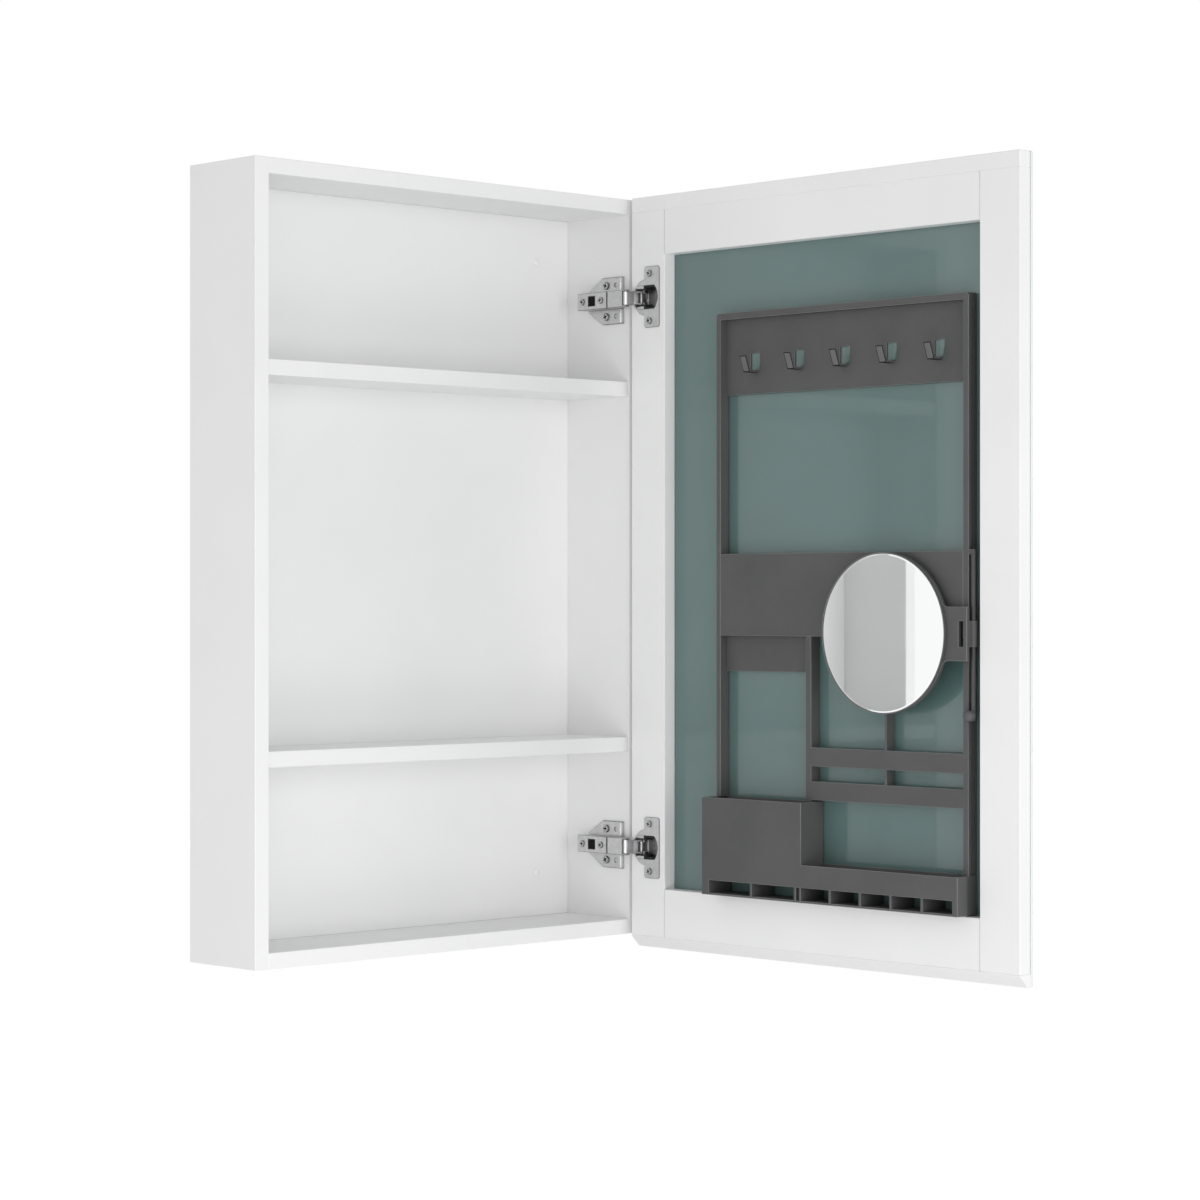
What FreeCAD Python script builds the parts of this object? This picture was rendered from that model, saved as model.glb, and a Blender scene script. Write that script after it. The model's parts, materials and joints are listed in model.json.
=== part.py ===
import FreeCAD, Part
import math
import os

# Wall medicine cabinet with a framed mirror door standing open at a right angle, in millimetres.
# +X is to the right seen from the front, the front faces -Y, the wall is the plane Y = 0 and +Z is up.
# The origin is the middle of the four wall holes, on the back face.

# Carcass
cabinet_width = 497.0
cabinet_height = 750.0
cabinet_depth = 100.0
side_thickness = 16.0
deck_thickness = 15.0
back_thickness = 9.0
shelf_thickness = 15.0
shelf_setback = 2.0
outer_bay_height = 171.0
edge_ease = 0.5
wall_hole_diameter = 6.0
wall_hole_side_inset = 45.0
wall_hole_end_inset = 60.0

# Dowels
carcass_dowel_diameter = 8.0
carcass_dowel_length = 30.0
carcass_dowel_side_depth = 11.0
shelf_dowel_diameter = 6.0
shelf_dowel_length = 24.0
shelf_dowel_side_depth = 9.0
frame_dowel_diameter = 6.0
frame_dowel_length = 30.0
frame_dowel_inset = 11.0
dowel_inset = 22.0
dowel_clearance = 0.05
dowel_end_room = 0.5

# Door frame and mirror
door_overhang = 3.0
door_gap = 2.0
open_back_inset = 5.1
open_edge_gap = 9.0
frame_thickness = 15.0
backing_thickness = 0.4
glass_thickness = 3.6
hinge_stile_width = 47.0
latch_stile_width = 47.0
top_rail_height = 45.0
bottom_rail_height = 49.0
top_strip_height = 15.0
pull_drop = 12.0
pull_lip = 4.0
pull_back_land = 1.0

# Hinge mounting plates
hinge_end_inset = 102.0
plate_thickness = 2.5
plate_front_inset = 7.0
plate_wing_length = 29.0
plate_wing_half_height = 24.0
plate_tail_length = 21.6
plate_tail_half_height = 10.0
plate_screw_inset = 24.0
plate_screw_spacing = 32.0
plate_screw_head_diameter = 8.0
plate_screw_head_height = 2.2
plate_screw_diameter = 3.8
plate_screw_depth = 12.0
plate_dimple_inset = 10.0
plate_dimple_diameter = 4.0
plate_dimple_depth = 1.0
block_front_inset = 12.0
block_length = 45.0

# Hinge arms
arm_standoff = 15.5
arm_depth = 11.0
arm_wall = 1.5
arm_half_height = 8.6
arm_tail_length = 60.2
arm_nose_reach = 10.8
arm_nose_cheek_reach = 2.0
arm_nose_width = 5.5
arm_seam_inset = 16.3
arm_seam_width = 1.0
arm_seam_depth = 0.5
arm_slot_inset = 34.5
arm_slot_size = 10.0
front_arm_screw_inset = 26.2
rear_arm_screw_inset = 53.4
arm_screw_head_diameter = 7.0
arm_screw_head_height = 1.5
arm_screw_diameter = 4.0
arm_screw_depth = 8.0
screw_cross_length = 4.0
screw_cross_width = 0.9
screw_cross_depth = 0.8
screw_clearance = 0.05

# Hinge pivots and links
door_travel_open = 90.0
tip_pin_standoff = 13.0
tip_pin_reach = 8.0
inner_link_ratio = -0.6
rear_pin_standoff = 8.5
rear_pin_setback = 0.5
outer_link_ratio = -0.5
hinge_pin_diameter = 2.5
pin_clearance = 0.05
knuckle_radius = 2.1
link_thickness = 1.6
link_side_clearance = 0.3
inner_link_ear_width = 1.6
inner_link_web_length = 5.2
inner_link_elbow_out = 3.5
inner_link_elbow_drop = 9.0
outer_link_half_height = 4.5
outer_link_elbow_gap = 4.0
outer_link_elbow_drop = 5.0
outer_link_entry_gap = 0.8
outer_link_entry_lead = 9.8
outer_link_tip_gap = 2.4

# Hinge cups
cup_edge_inset = 21.5
cup_radius = 17.4
cup_depth = 11.5
cup_wall = 0.9
cup_opening_half_height = 11.8
cup_bore_clearance = 0.25
cup_bore_floor_room = 0.3
flange_thickness = 1.0
flange_rim = 0.9
flange_near_edge = 19.0
flange_far_edge = 40.5
flange_half_height = 31.0
flange_corner_radius = 3.0
cup_screw_edge_inset = 26.0
cup_screw_spacing = 48.0
cup_screw_head_diameter = 7.0
cup_screw_head_height = 1.8
cup_screw_diameter = 3.5
cup_screw_depth = 11.0
insert_near_edge = 5.5
insert_far_edge = 20.0
insert_gap = 0.6
insert_clearance = 0.1
cup_pin_end_room = 0.4
stub_pin_gap = 0.4

# Organizer frame, measured from the edges of the door's window
organizer_hinge_margin = 71.0
organizer_latch_margin = 15.0
organizer_top_gap = 65.0
organizer_depth = 12.0
tape_thickness = 1.0
tape_pad_length = 60.0
left_rail_width = 5.5
right_flange_width = 6.5
right_flange_thickness = 3.5
right_wall_width = 4.5
top_bar_height = 6.5
organizer_corner_radius = 3.0
plate_wall = 2.5
plate_recess = 8.5

# Hook strip
hook_strip_height = 74.6
hook_count = 5
hook_spacing = 59.0
hook_row_shift = 2.0
hook_window_drop = 34.2
hook_window_width = 12.2
hook_window_height = 17.1
hook_width = 8.0
hook_wall = 2.0
hook_foot_reach = 12.2
hook_lean = 5.8
hook_height = 15.4

# Band, measured down from the organizer's top, dividers, and bars, measured up from the bin's top
band_drop = 238.5
band_height = 80.7
band_apron_height = 35.1
wide_divider_offset = 120.0
wide_divider_width = 7.0
thin_divider_width = 2.3
upper_bar_rise = 34.3
upper_bar_height = 18.2
lower_bar_rise = 1.8
lower_bar_height = 17.9

# Lower bin
bin_bottom_gap = 1.2
bin_height = 96.1
bin_low_height = 36.4
bin_front_reach = 20.8
bin_tall_width = 132.5
bin_wall = 2.2
bin_floor_height = 14.5
bin_nose_width = 4.0
bin_nose_depth = 14.2
bin_base_thickness = 2.0
tall_foot_margin = 9.4
tall_foot_count = 2
low_foot_count = 5
foot_rib = 2.5
foot_groove_width = 4.0

# Rod and shaving mirror
rod_diameter = 4.5
rod_offset = 5.7
rod_plane = 0.6
rod_top_drop = 237.2
rod_length = 151.8
rod_lug_half_width = 3.2
rod_top_lug_height = 4.5
rod_bottom_lug_height = 9.0
rod_bottom_lug_seat = 2.75
rod_clearance = 0.05
knob_diameter = 10.0
knob_height = 6.0
sleeve_wall = 0.5
sleeve_bottom = 61.9
sleeve_height = 23.7
clip_wall = 0.9
bracket_thickness = 3.8
bracket_gap = 6.2
bracket_height = 50.2
bracket_slot_width = 5.7
bracket_end_lead = 0.6
bracket_flare_radius = 7.0
bracket_ring_width = 14.0
shaving_mirror_reach = 99.6
shaving_mirror_diameter = 152.2
shaving_frame_thickness = 3.6
shaving_frame_rim = 1.0
shaving_glass_thickness = 2.0
shaving_glass_clearance = 0.1

# Carcass planes
half_width = cabinet_width / 2
half_height = cabinet_height / 2
inner_x = half_width - side_thickness
inner_z = half_height - deck_thickness
front_y = -cabinet_depth
shelf_front_y = front_y + shelf_setback
upper_shelf_z = inner_z - outer_bay_height - shelf_thickness
lower_shelf_z = -inner_z + outer_bay_height

# Door planes, in door coordinates: u along the door from its hinge edge, v through it from its back face
door_back_x = inner_x - open_back_inset
door_edge_y = front_y - open_edge_gap
door_width = cabinet_width + 2 * door_overhang
door_top = half_height
door_bottom = -half_height - pull_drop
frame_top = door_top - top_strip_height
frame_bottom = -half_height
window_left = hinge_stile_width
window_right = door_width - latch_stile_width
window_top = frame_top - top_rail_height
window_bottom = frame_bottom + bottom_rail_height
backing_v = frame_thickness
glass_v = backing_v + backing_thickness
glass_front_v = glass_v + glass_thickness

place_tolerance = 0.001
hinge_heights = {"upper": door_top - hinge_end_inset, "lower": door_bottom + hinge_end_inset}


def vec(x, y, z):
    return FreeCAD.Vector(x, y, z)


def box(x_range, y_range, z_range):
    sizes = [end - start for start, end in (x_range, y_range, z_range)]
    return Part.makeBox(*sizes, vec(x_range[0], y_range[0], z_range[0]))


def cylinder(start, end, radius):
    axis = end.sub(start)
    return Part.makeCylinder(radius, axis.Length, start, axis)


def prism(points, extent):
    """Straight prism over a closed polygon of points."""
    return Part.Face(Part.makePolygon(points + points[:1])).extrude(extent)


def plan_prism(points, z_range):
    """Upright prism over a polygon of (x, y) points."""
    bottom, top = z_range
    return prism([vec(x, y, bottom) for x, y in points], vec(0, 0, top - bottom))


def fuse(shapes):
    whole = shapes[0].multiFuse(shapes[1:])
    return whole.removeSplitter()


def eased(shape):
    """Panel with all its edges broken by a small chamfer."""
    return shape.makeChamfer(edge_ease, shape.Edges)


def door_point(u, v, z):
    return vec(door_back_x + v, door_edge_y - u, z)


def door_box(u_range, v_range, z_range):
    x_range = (door_back_x + v_range[0], door_back_x + v_range[1])
    y_range = (door_edge_y - u_range[1], door_edge_y - u_range[0])
    return box(x_range, y_range, z_range)


def door_prism(points, u_range):
    """Prism along the door's width over a polygon of (v, z) points."""
    start, end = u_range
    return prism([door_point(start, v, z) for v, z in points], vec(0, start - end, 0))


def through_edges(shape, u, z):
    """Edges that run through the door at the place (u, z)."""
    place = door_point(u, 0, z)
    found = []
    for edge in shape.Edges:
        centre = edge.CenterOfMass
        if math.isclose(edge.BoundBox.XLength, edge.Length, rel_tol=place_tolerance):
            if math.hypot(centre.y - place.y, centre.z - place.z) < place_tolerance:
                found.append(edge)
    return found


def lengthened(start, end, extra):
    """The segment with both of its ends moved outwards."""
    step = end.sub(start).normalize().multiply(extra)
    return start.sub(step), end.add(step)


def dowels(axes, diameter):
    return [cylinder(start, end, diameter / 2) for start, end in axes]


def dowel_holes(axes, diameter):
    radius = diameter / 2 + dowel_clearance
    return [cylinder(*lengthened(start, end, dowel_end_room), radius) for start, end in axes]


def screw(seat, direction, head_diameter, head_height, shank_diameter, shank_length):
    """Cross-head screw whose head sits on the seat point and whose shank runs along the direction."""
    head_top = seat.sub(vec(*direction).multiply(head_height))
    shank_end = seat.add(vec(*direction).multiply(shank_length))
    body = fuse([
        cylinder(head_top, seat, head_diameter / 2),
        cylinder(seat, shank_end, shank_diameter / 2),
    ])
    floor = head_top.add(vec(*direction).multiply(screw_cross_depth))
    half_length = screw_cross_length / 2
    half_width_of_cross = screw_cross_width / 2
    for half_y, half_z in ((half_length, half_width_of_cross), (half_width_of_cross, half_length)):
        recess = box(
            (min(head_top.x, floor.x), max(head_top.x, floor.x)),
            (seat.y - half_y, seat.y + half_y),
            (seat.z - half_z, seat.z + half_z),
        )
        body = body.cut(recess)
    return body


def screw_hole(seat, direction, shank_diameter, shank_length):
    end = seat.add(vec(*direction).multiply(shank_length + screw_clearance))
    return cylinder(seat, end, shank_diameter / 2 + screw_clearance)


# Carcass joints
def carcass_dowel_axes():
    axes = []
    for side in (-1, 1):
        for end in (-1, 1):
            for y in (front_y + dowel_inset, -dowel_inset):
                z = end * (half_height - deck_thickness / 2)
                outer = side * (inner_x + carcass_dowel_side_depth)
                inner = side * (inner_x + carcass_dowel_side_depth - carcass_dowel_length)
                axes.append((vec(outer, y, z), vec(inner, y, z)))
    return axes


def shelf_dowel_axes():
    axes = []
    for side in (-1, 1):
        for shelf_z in (upper_shelf_z, lower_shelf_z):
            for y in (shelf_front_y + dowel_inset, -back_thickness - dowel_inset):
                z = shelf_z + shelf_thickness / 2
                outer = side * (inner_x + shelf_dowel_side_depth)
                inner = side * (inner_x + shelf_dowel_side_depth - shelf_dowel_length)
                axes.append((vec(outer, y, z), vec(inner, y, z)))
    return axes


def plate_screw_seats():
    x = inner_x - plate_thickness
    y = front_y + plate_front_inset + plate_screw_inset
    offsets = (-plate_screw_spacing / 2, plate_screw_spacing / 2)
    return [vec(x, y, z + offset) for z in hinge_heights.values() for offset in offsets]


carcass_holes = dowel_holes(carcass_dowel_axes(), carcass_dowel_diameter)
shelf_holes = dowel_holes(shelf_dowel_axes(), shelf_dowel_diameter)
plate_screw_holes = [
    screw_hole(seat, (1, 0, 0), plate_screw_diameter, plate_screw_depth) for seat in plate_screw_seats()
]


def side_panel(side):
    x_range = sorted((side * inner_x, side * half_width))
    panel = eased(box(x_range, (front_y, 0), (-half_height, half_height)))
    return panel.cut(carcass_holes + shelf_holes + plate_screw_holes)


def deck_panel(end):
    z_range = sorted((end * inner_z, end * half_height))
    return eased(box((-inner_x, inner_x), (front_y, 0), z_range)).cut(carcass_holes)


def back_panel():
    panel = eased(box((-inner_x, inner_x), (-back_thickness, 0), (-inner_z, inner_z)))
    x = inner_x - wall_hole_side_inset
    z = half_height - wall_hole_end_inset
    holes = [
        cylinder(vec(sx * x, -back_thickness, sz * z), vec(sx * x, 0, sz * z), wall_hole_diameter / 2)
        for sx in (-1, 1) for sz in (-1, 1)
    ]
    return panel.cut(holes)


def shelf(z):
    panel = eased(box((-inner_x, inner_x), (shelf_front_y, -back_thickness), (z, z + shelf_thickness)))
    return panel.cut(shelf_holes)


# Hinge pivots: a link turns by a steady share of the door's turn, and its cup end is placed so that the
# door lies flat over the carcass when shut and stands as drawn when open.
tip_pin = complex(inner_x - tip_pin_standoff, front_y - tip_pin_reach)
rear_pin = complex(inner_x - rear_pin_standoff, front_y + rear_pin_setback)
shut_corner = complex(half_width + door_overhang, front_y - door_gap)
open_corner = complex(door_back_x, door_edge_y)


def turned(degrees):
    angle = math.radians(degrees)
    return complex(math.cos(angle), math.sin(angle))


def cup_pivot(arm_pin, ratio):
    """Open position of the cup end of a link that starts at arm_pin."""
    door_turn = turned(door_travel_open)
    link_turn = turned(ratio * door_travel_open)
    offset = open_corner - door_turn * shut_corner - arm_pin + link_turn * arm_pin
    shut_position = offset / (link_turn - door_turn)
    return arm_pin + link_turn * (shut_position - arm_pin)


inner_cup_pin = cup_pivot(tip_pin, inner_link_ratio)
outer_cup_pin = cup_pivot(rear_pin, outer_link_ratio)
pin_radius = hinge_pin_diameter / 2
pin_hole_radius = pin_radius + pin_clearance


def pin(place, z_range):
    start = vec(place.real, place.imag, z_range[0])
    return cylinder(start, vec(place.real, place.imag, z_range[1]), pin_radius)


def pin_hole(place, z, half_length):
    start = vec(place.real, place.imag, z - half_length)
    return cylinder(start, vec(place.real, place.imag, z + half_length), pin_hole_radius)


# Hinge sizes that follow from one another
arm_outer_x = inner_x - arm_standoff
arm_inner_x = arm_outer_x + arm_wall
arm_channel_half = arm_half_height - arm_wall
inner_link_half_height = arm_channel_half - link_side_clearance
plate_front_y = front_y + plate_front_inset
plate_face_x = inner_x - plate_thickness
cup_inner_radius = cup_radius - cup_wall
cup_floor_v = cup_depth - cup_wall


def arm_screw_seats(z):
    insets = (front_arm_screw_inset, rear_arm_screw_inset)
    return [vec(arm_outer_x, front_y + inset, z) for inset in insets]


def mounting_plate(z):
    shoulder_y = plate_front_y + plate_wing_length
    tail_y = shoulder_y + plate_tail_length
    outline = [
        (plate_front_y, -plate_wing_half_height),
        (shoulder_y, -plate_wing_half_height),
        (tail_y, -plate_tail_half_height),
        (tail_y, plate_tail_half_height),
        (shoulder_y, plate_wing_half_height),
        (plate_front_y, plate_wing_half_height),
    ]
    base = prism([vec(plate_face_x, y, z + dz) for y, dz in outline], vec(plate_thickness, 0, 0))
    block_y = front_y + block_front_inset
    block_half = inner_link_half_height
    block_z = (z - block_half, z + block_half)
    block = box((arm_inner_x, plate_face_x), (block_y, block_y + block_length), block_z)
    plate = fuse([base, block]).cut(plate_screw_holes)
    dimple_y = plate_front_y + plate_dimple_inset
    for offset in (-plate_screw_spacing / 2, plate_screw_spacing / 2):
        start = vec(plate_face_x, dimple_y, z + offset)
        end = start.add(vec(plate_dimple_depth, 0, 0))
        plate = plate.cut(cylinder(start, end, plate_dimple_diameter / 2))
    holes = [
        screw_hole(seat, (1, 0, 0), arm_screw_diameter, arm_screw_depth) for seat in arm_screw_seats(z)
    ]
    return plate.cut(holes)


def hinge_arm(z):
    tail_y = front_y + arm_tail_length
    nose_y = front_y - arm_nose_reach
    bottom_x = arm_outer_x + arm_depth
    outline = [
        (arm_outer_x, tail_y),
        (bottom_x, tail_y),
        (bottom_x, front_y - arm_nose_cheek_reach),
        (arm_outer_x + arm_nose_width, nose_y),
        (arm_outer_x, nose_y),
    ]
    body = plan_prism(outline, (z - arm_half_height, z + arm_half_height))
    channel_z = (z - arm_channel_half, z + arm_channel_half)
    knuckle_room_y = tip_pin.imag + knuckle_radius + link_side_clearance
    cuts = [
        box((arm_inner_x, bottom_x), (nose_y, tail_y), channel_z),
        box((arm_outer_x, arm_inner_x), (nose_y, knuckle_room_y), channel_z),
    ]
    slot_y = front_y + arm_slot_inset
    slot_half = arm_slot_size / 2
    slot_z = (z - slot_half, z + slot_half)
    cuts.append(box((arm_outer_x, arm_inner_x), (slot_y, slot_y + arm_slot_size), slot_z))
    seam_y = front_y + arm_seam_inset
    cuts.append(box(
        (arm_outer_x, arm_outer_x + arm_seam_depth),
        (seam_y, seam_y + arm_seam_width),
        (z - arm_half_height, z + arm_half_height),
    ))
    for seat in arm_screw_seats(z):
        cuts.append(screw_hole(seat, (1, 0, 0), arm_screw_diameter, arm_screw_depth))
    for place in (tip_pin, rear_pin):
        cuts.append(pin_hole(place, z, arm_half_height))
    return body.cut(cuts)


def bar_outline(points, thickness):
    """Outline of a bent flat bar of even thickness along a line of complex points."""
    normals = []
    for start, end in zip(points, points[1:]):
        along = (end - start) / abs(end - start)
        normals.append(along * 1j)
    left = []
    right = []
    for index, point in enumerate(points):
        before = normals[max(index - 1, 0)]
        after = normals[min(index, len(normals) - 1)]
        middle = (before + after) / abs(before + after)
        reach = thickness / 2 / (middle * before.conjugate()).real
        left.append(point + middle * reach)
        right.append(point - middle * reach)
    return [(point.real, point.imag) for point in left + right[::-1]]


def knuckle(place, z_range):
    start = vec(place.real, place.imag, z_range[0])
    return cylinder(start, vec(place.real, place.imag, z_range[1]), knuckle_radius)


def inner_link(z):
    """Forked link: a web at the arm end, and two ears that straddle the outer link in the cup."""
    half = inner_link_half_height
    elbow_step = complex(inner_link_elbow_out, -inner_link_elbow_drop)
    elbow = tip_pin + elbow_step
    web_end = tip_pin + elbow_step / abs(elbow_step) * inner_link_web_length
    pieces = [
        knuckle(tip_pin, (z - half, z + half)),
        plan_prism(bar_outline([tip_pin, web_end], link_thickness), (z - half, z + half)),
    ]
    for side in (-1, 1):
        z_range = sorted((z + side * half, z + side * (half - inner_link_ear_width)))
        pieces.append(plan_prism(bar_outline([tip_pin, elbow, inner_cup_pin], link_thickness), z_range))
        pieces.append(knuckle(inner_cup_pin, z_range))
    return fuse(pieces).cut([pin_hole(place, z, half) for place in (tip_pin, inner_cup_pin)])


def outer_link_points():
    """Line of the bent outer link: past the door's edge, then into the cup towards its pin."""
    elbow = complex(door_back_x - outer_link_elbow_gap, door_edge_y - outer_link_elbow_drop)
    entry = complex(door_back_x - outer_link_entry_gap, door_edge_y - outer_link_entry_lead)
    towards_pin = (outer_cup_pin - entry) / abs(outer_cup_pin - entry)
    tip = outer_cup_pin - towards_pin * (pin_radius + outer_link_tip_gap)
    return [rear_pin, elbow, entry, tip]


def outer_link(z):
    z_range = (z - outer_link_half_height, z + outer_link_half_height)
    body = fuse([
        knuckle(rear_pin, z_range),
        plan_prism(bar_outline(outer_link_points(), link_thickness), z_range),
    ])
    return body.cut(pin_hole(rear_pin, z, outer_link_half_height))


def arm_pins():
    pins = []
    for z in hinge_heights.values():
        for place in (tip_pin, rear_pin):
            pins.append(pin(place, (z - arm_half_height, z + arm_half_height)))
    return pins


# Hinge cups
def cup_cylinder(z, radius, v_range):
    start = door_point(cup_edge_inset, v_range[0], z)
    return cylinder(start, door_point(cup_edge_inset, v_range[1], z), radius)


def cup_screw_seats(z):
    offsets = (-cup_screw_spacing / 2, cup_screw_spacing / 2)
    return [door_point(cup_screw_edge_inset, -flange_thickness, z + offset) for offset in offsets]


def cup_screw_holes(z):
    return [screw_hole(seat, (1, 0, 0), cup_screw_diameter, cup_screw_depth) for seat in cup_screw_seats(z)]


def hinge_cup(z):
    flange = door_box(
        (flange_near_edge, flange_far_edge),
        (-flange_thickness, 0),
        (z - flange_half_height, z + flange_half_height),
    )
    corners = [edge for edge in flange.Edges if edge.BoundBox.XLength > edge.Length / 2]
    flange = flange.makeFillet(flange_corner_radius, corners)
    body = fuse([
        flange,
        cup_cylinder(z, cup_radius + flange_rim, (-flange_thickness, 0)),
        cup_cylinder(z, cup_radius, (0, cup_depth)),
    ])
    opening = cup_cylinder(z, cup_inner_radius, (-flange_thickness, 0)).common(door_box(
        (cup_edge_inset - cup_radius, cup_edge_inset + cup_radius),
        (-flange_thickness, 0),
        (z - cup_opening_half_height, z + cup_opening_half_height),
    ))
    hollow = cup_cylinder(z, cup_inner_radius, (0, cup_floor_v))
    return body.cut([opening, hollow] + cup_screw_holes(z))


def cup_pin_half_length(place):
    """Half the length of a pin that stays inside the round cup."""
    edge_inset = door_edge_y - place.imag
    reach = abs(cup_edge_inset - edge_inset) + pin_radius
    return math.sqrt(cup_inner_radius ** 2 - reach ** 2) - cup_pin_end_room


def cup_insert(z):
    """Two cheeks in the cup that hold the pins."""
    filling = cup_cylinder(z, cup_inner_radius - insert_clearance, (0, cup_floor_v))
    holes = []
    for place in (inner_cup_pin, outer_cup_pin):
        holes.append(pin_hole(place, z, cup_pin_half_length(place) + pin_clearance))
    cheeks = []
    for side in (-1, 1):
        z_range = sorted((z + side * (inner_link_half_height + insert_gap), z + side * cup_radius))
        block = door_box((insert_near_edge, insert_far_edge), (0, cup_floor_v), z_range)
        cheeks.append(filling.common(block).cut(holes))
    return cheeks


def cup_pins():
    pins = []
    outer_half = cup_pin_half_length(outer_cup_pin)
    stub_start = outer_link_half_height + stub_pin_gap
    stub_end = cup_pin_half_length(inner_cup_pin)
    for z in hinge_heights.values():
        pins.append(pin(outer_cup_pin, (z - outer_half, z + outer_half)))
        for side in (-1, 1):
            pins.append(pin(inner_cup_pin, sorted((z + side * stub_start, z + side * stub_end))))
    return pins


# Door frame
def frame_dowel_axes():
    axes = []
    mid_v = frame_thickness / 2
    half = frame_dowel_length / 2
    rails = ((window_top, frame_top), (frame_bottom, window_bottom))
    for bottom, top in rails:
        for z in (bottom + frame_dowel_inset, top - frame_dowel_inset):
            for u in (window_left, window_right):
                axes.append((door_point(u - half, mid_v, z), door_point(u + half, mid_v, z)))
    return axes


frame_holes = dowel_holes(frame_dowel_axes(), frame_dowel_diameter)


def hinge_stile():
    stile = eased(door_box((0, hinge_stile_width), (0, frame_thickness), (frame_bottom, frame_top)))
    bores = []
    for z in hinge_heights.values():
        bores.append(cup_cylinder(z, cup_radius + cup_bore_clearance, (0, cup_depth + cup_bore_floor_room)))
        bores.extend(cup_screw_holes(z))
    return stile.cut(bores + frame_holes)


def latch_stile():
    stile = door_box((window_right, door_width), (0, frame_thickness), (frame_bottom, frame_top))
    return eased(stile).cut(frame_holes)


def rail(z_range):
    return eased(door_box((window_left, window_right), (0, frame_thickness), z_range)).cut(frame_holes)


def finger_pull_strip():
    profile = [
        (0, frame_bottom),
        (frame_thickness, frame_bottom),
        (frame_thickness, door_bottom),
        (frame_thickness - pull_lip, door_bottom),
        (0, frame_bottom - pull_back_land),
    ]
    return door_prism(profile, (0, door_width))


def pane(v_range):
    return door_box((0, door_width), v_range, (door_bottom, door_top))


# Organizer planes
organizer_back_v = frame_thickness - tape_thickness
organizer_front_v = organizer_back_v - organizer_depth
organizer_left = window_left + organizer_hinge_margin
organizer_right = window_right - organizer_latch_margin
organizer_top = window_top - organizer_top_gap
cell_left = organizer_left + left_rail_width
cell_right = organizer_right - right_flange_width
cell_top = organizer_top - top_bar_height
recess_v = (organizer_front_v + plate_recess, organizer_front_v + plate_recess + plate_wall)
front_v = (organizer_front_v, organizer_front_v + plate_wall)
band_z = (organizer_top - band_drop - band_height, organizer_top - band_drop)
bin_bottom = window_bottom + bin_bottom_gap
bin_top = bin_bottom + bin_height
bin_low_top = bin_bottom + bin_low_height
bin_front_v = organizer_front_v - bin_front_reach
wide_divider_left = organizer_left + wide_divider_offset
wide_divider_u = (wide_divider_left, wide_divider_left + wide_divider_width)
thin_divider_middle = (wide_divider_u[1] + cell_right) / 2
thin_divider_u = (thin_divider_middle - thin_divider_width / 2, thin_divider_middle + thin_divider_width / 2)
bin_step_u = organizer_left + bin_tall_width

# Rod places
rod_u = organizer_right + rod_offset
rod_v = organizer_front_v + rod_plane
rod_top = organizer_top - rod_top_drop
rod_bottom = rod_top - rod_length
rod_radius = rod_diameter / 2
sleeve_z = (rod_bottom + sleeve_bottom, rod_bottom + sleeve_bottom + sleeve_height)


def rod_cylinder(radius, z_range):
    return cylinder(door_point(rod_u, rod_v, z_range[0]), door_point(rod_u, rod_v, z_range[1]), radius)


def organizer_frame():
    full_v = (organizer_front_v, organizer_back_v)
    wall_u = (cell_right, cell_right + right_wall_width)
    upper_bar_z = (bin_top + upper_bar_rise, bin_top + upper_bar_rise + upper_bar_height)
    lower_bar_z = (bin_top + lower_bar_rise, bin_top + lower_bar_rise + lower_bar_height)
    bar_u = (wide_divider_u[1], cell_right)
    lug_u = (wall_u[1], rod_u)
    lug_back_v = rod_v + rod_lug_half_width
    top_lug_z = (rod_top - rod_top_lug_height, rod_top)
    bottom_lug_top = rod_bottom + rod_bottom_lug_seat
    bottom_lug_z = (bottom_lug_top - rod_bottom_lug_height, bottom_lug_top)
    pieces = [
        door_box((organizer_left, cell_left), full_v, (bin_top, organizer_top)),
        door_box((cell_left, cell_right), full_v, (cell_top, organizer_top)),
        door_box(
            (cell_right, organizer_right),
            (organizer_front_v, organizer_front_v + right_flange_thickness),
            (bin_low_top, organizer_top),
        ),
        door_box(wall_u, full_v, (bin_low_top, organizer_top)),
        door_box(wide_divider_u, full_v, (bin_top, band_z[0])),
        door_box(thin_divider_u, full_v, (lower_bar_z[0], band_z[0])),
        door_box(bar_u, front_v, upper_bar_z),
        door_box(bar_u, front_v, lower_bar_z),
        door_box(lug_u, (organizer_front_v, lug_back_v), top_lug_z),
        door_box(lug_u, (rod_v - rod_lug_half_width, lug_back_v), bottom_lug_z),
    ]
    frame = fuse(pieces)
    corners = [
        *through_edges(frame, organizer_left, organizer_top),
        *through_edges(frame, organizer_right, organizer_top),
    ]
    frame = frame.makeFillet(organizer_corner_radius, corners)
    return frame.cut(rod_cylinder(rod_radius + rod_clearance, (rod_bottom, rod_top)))


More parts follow.
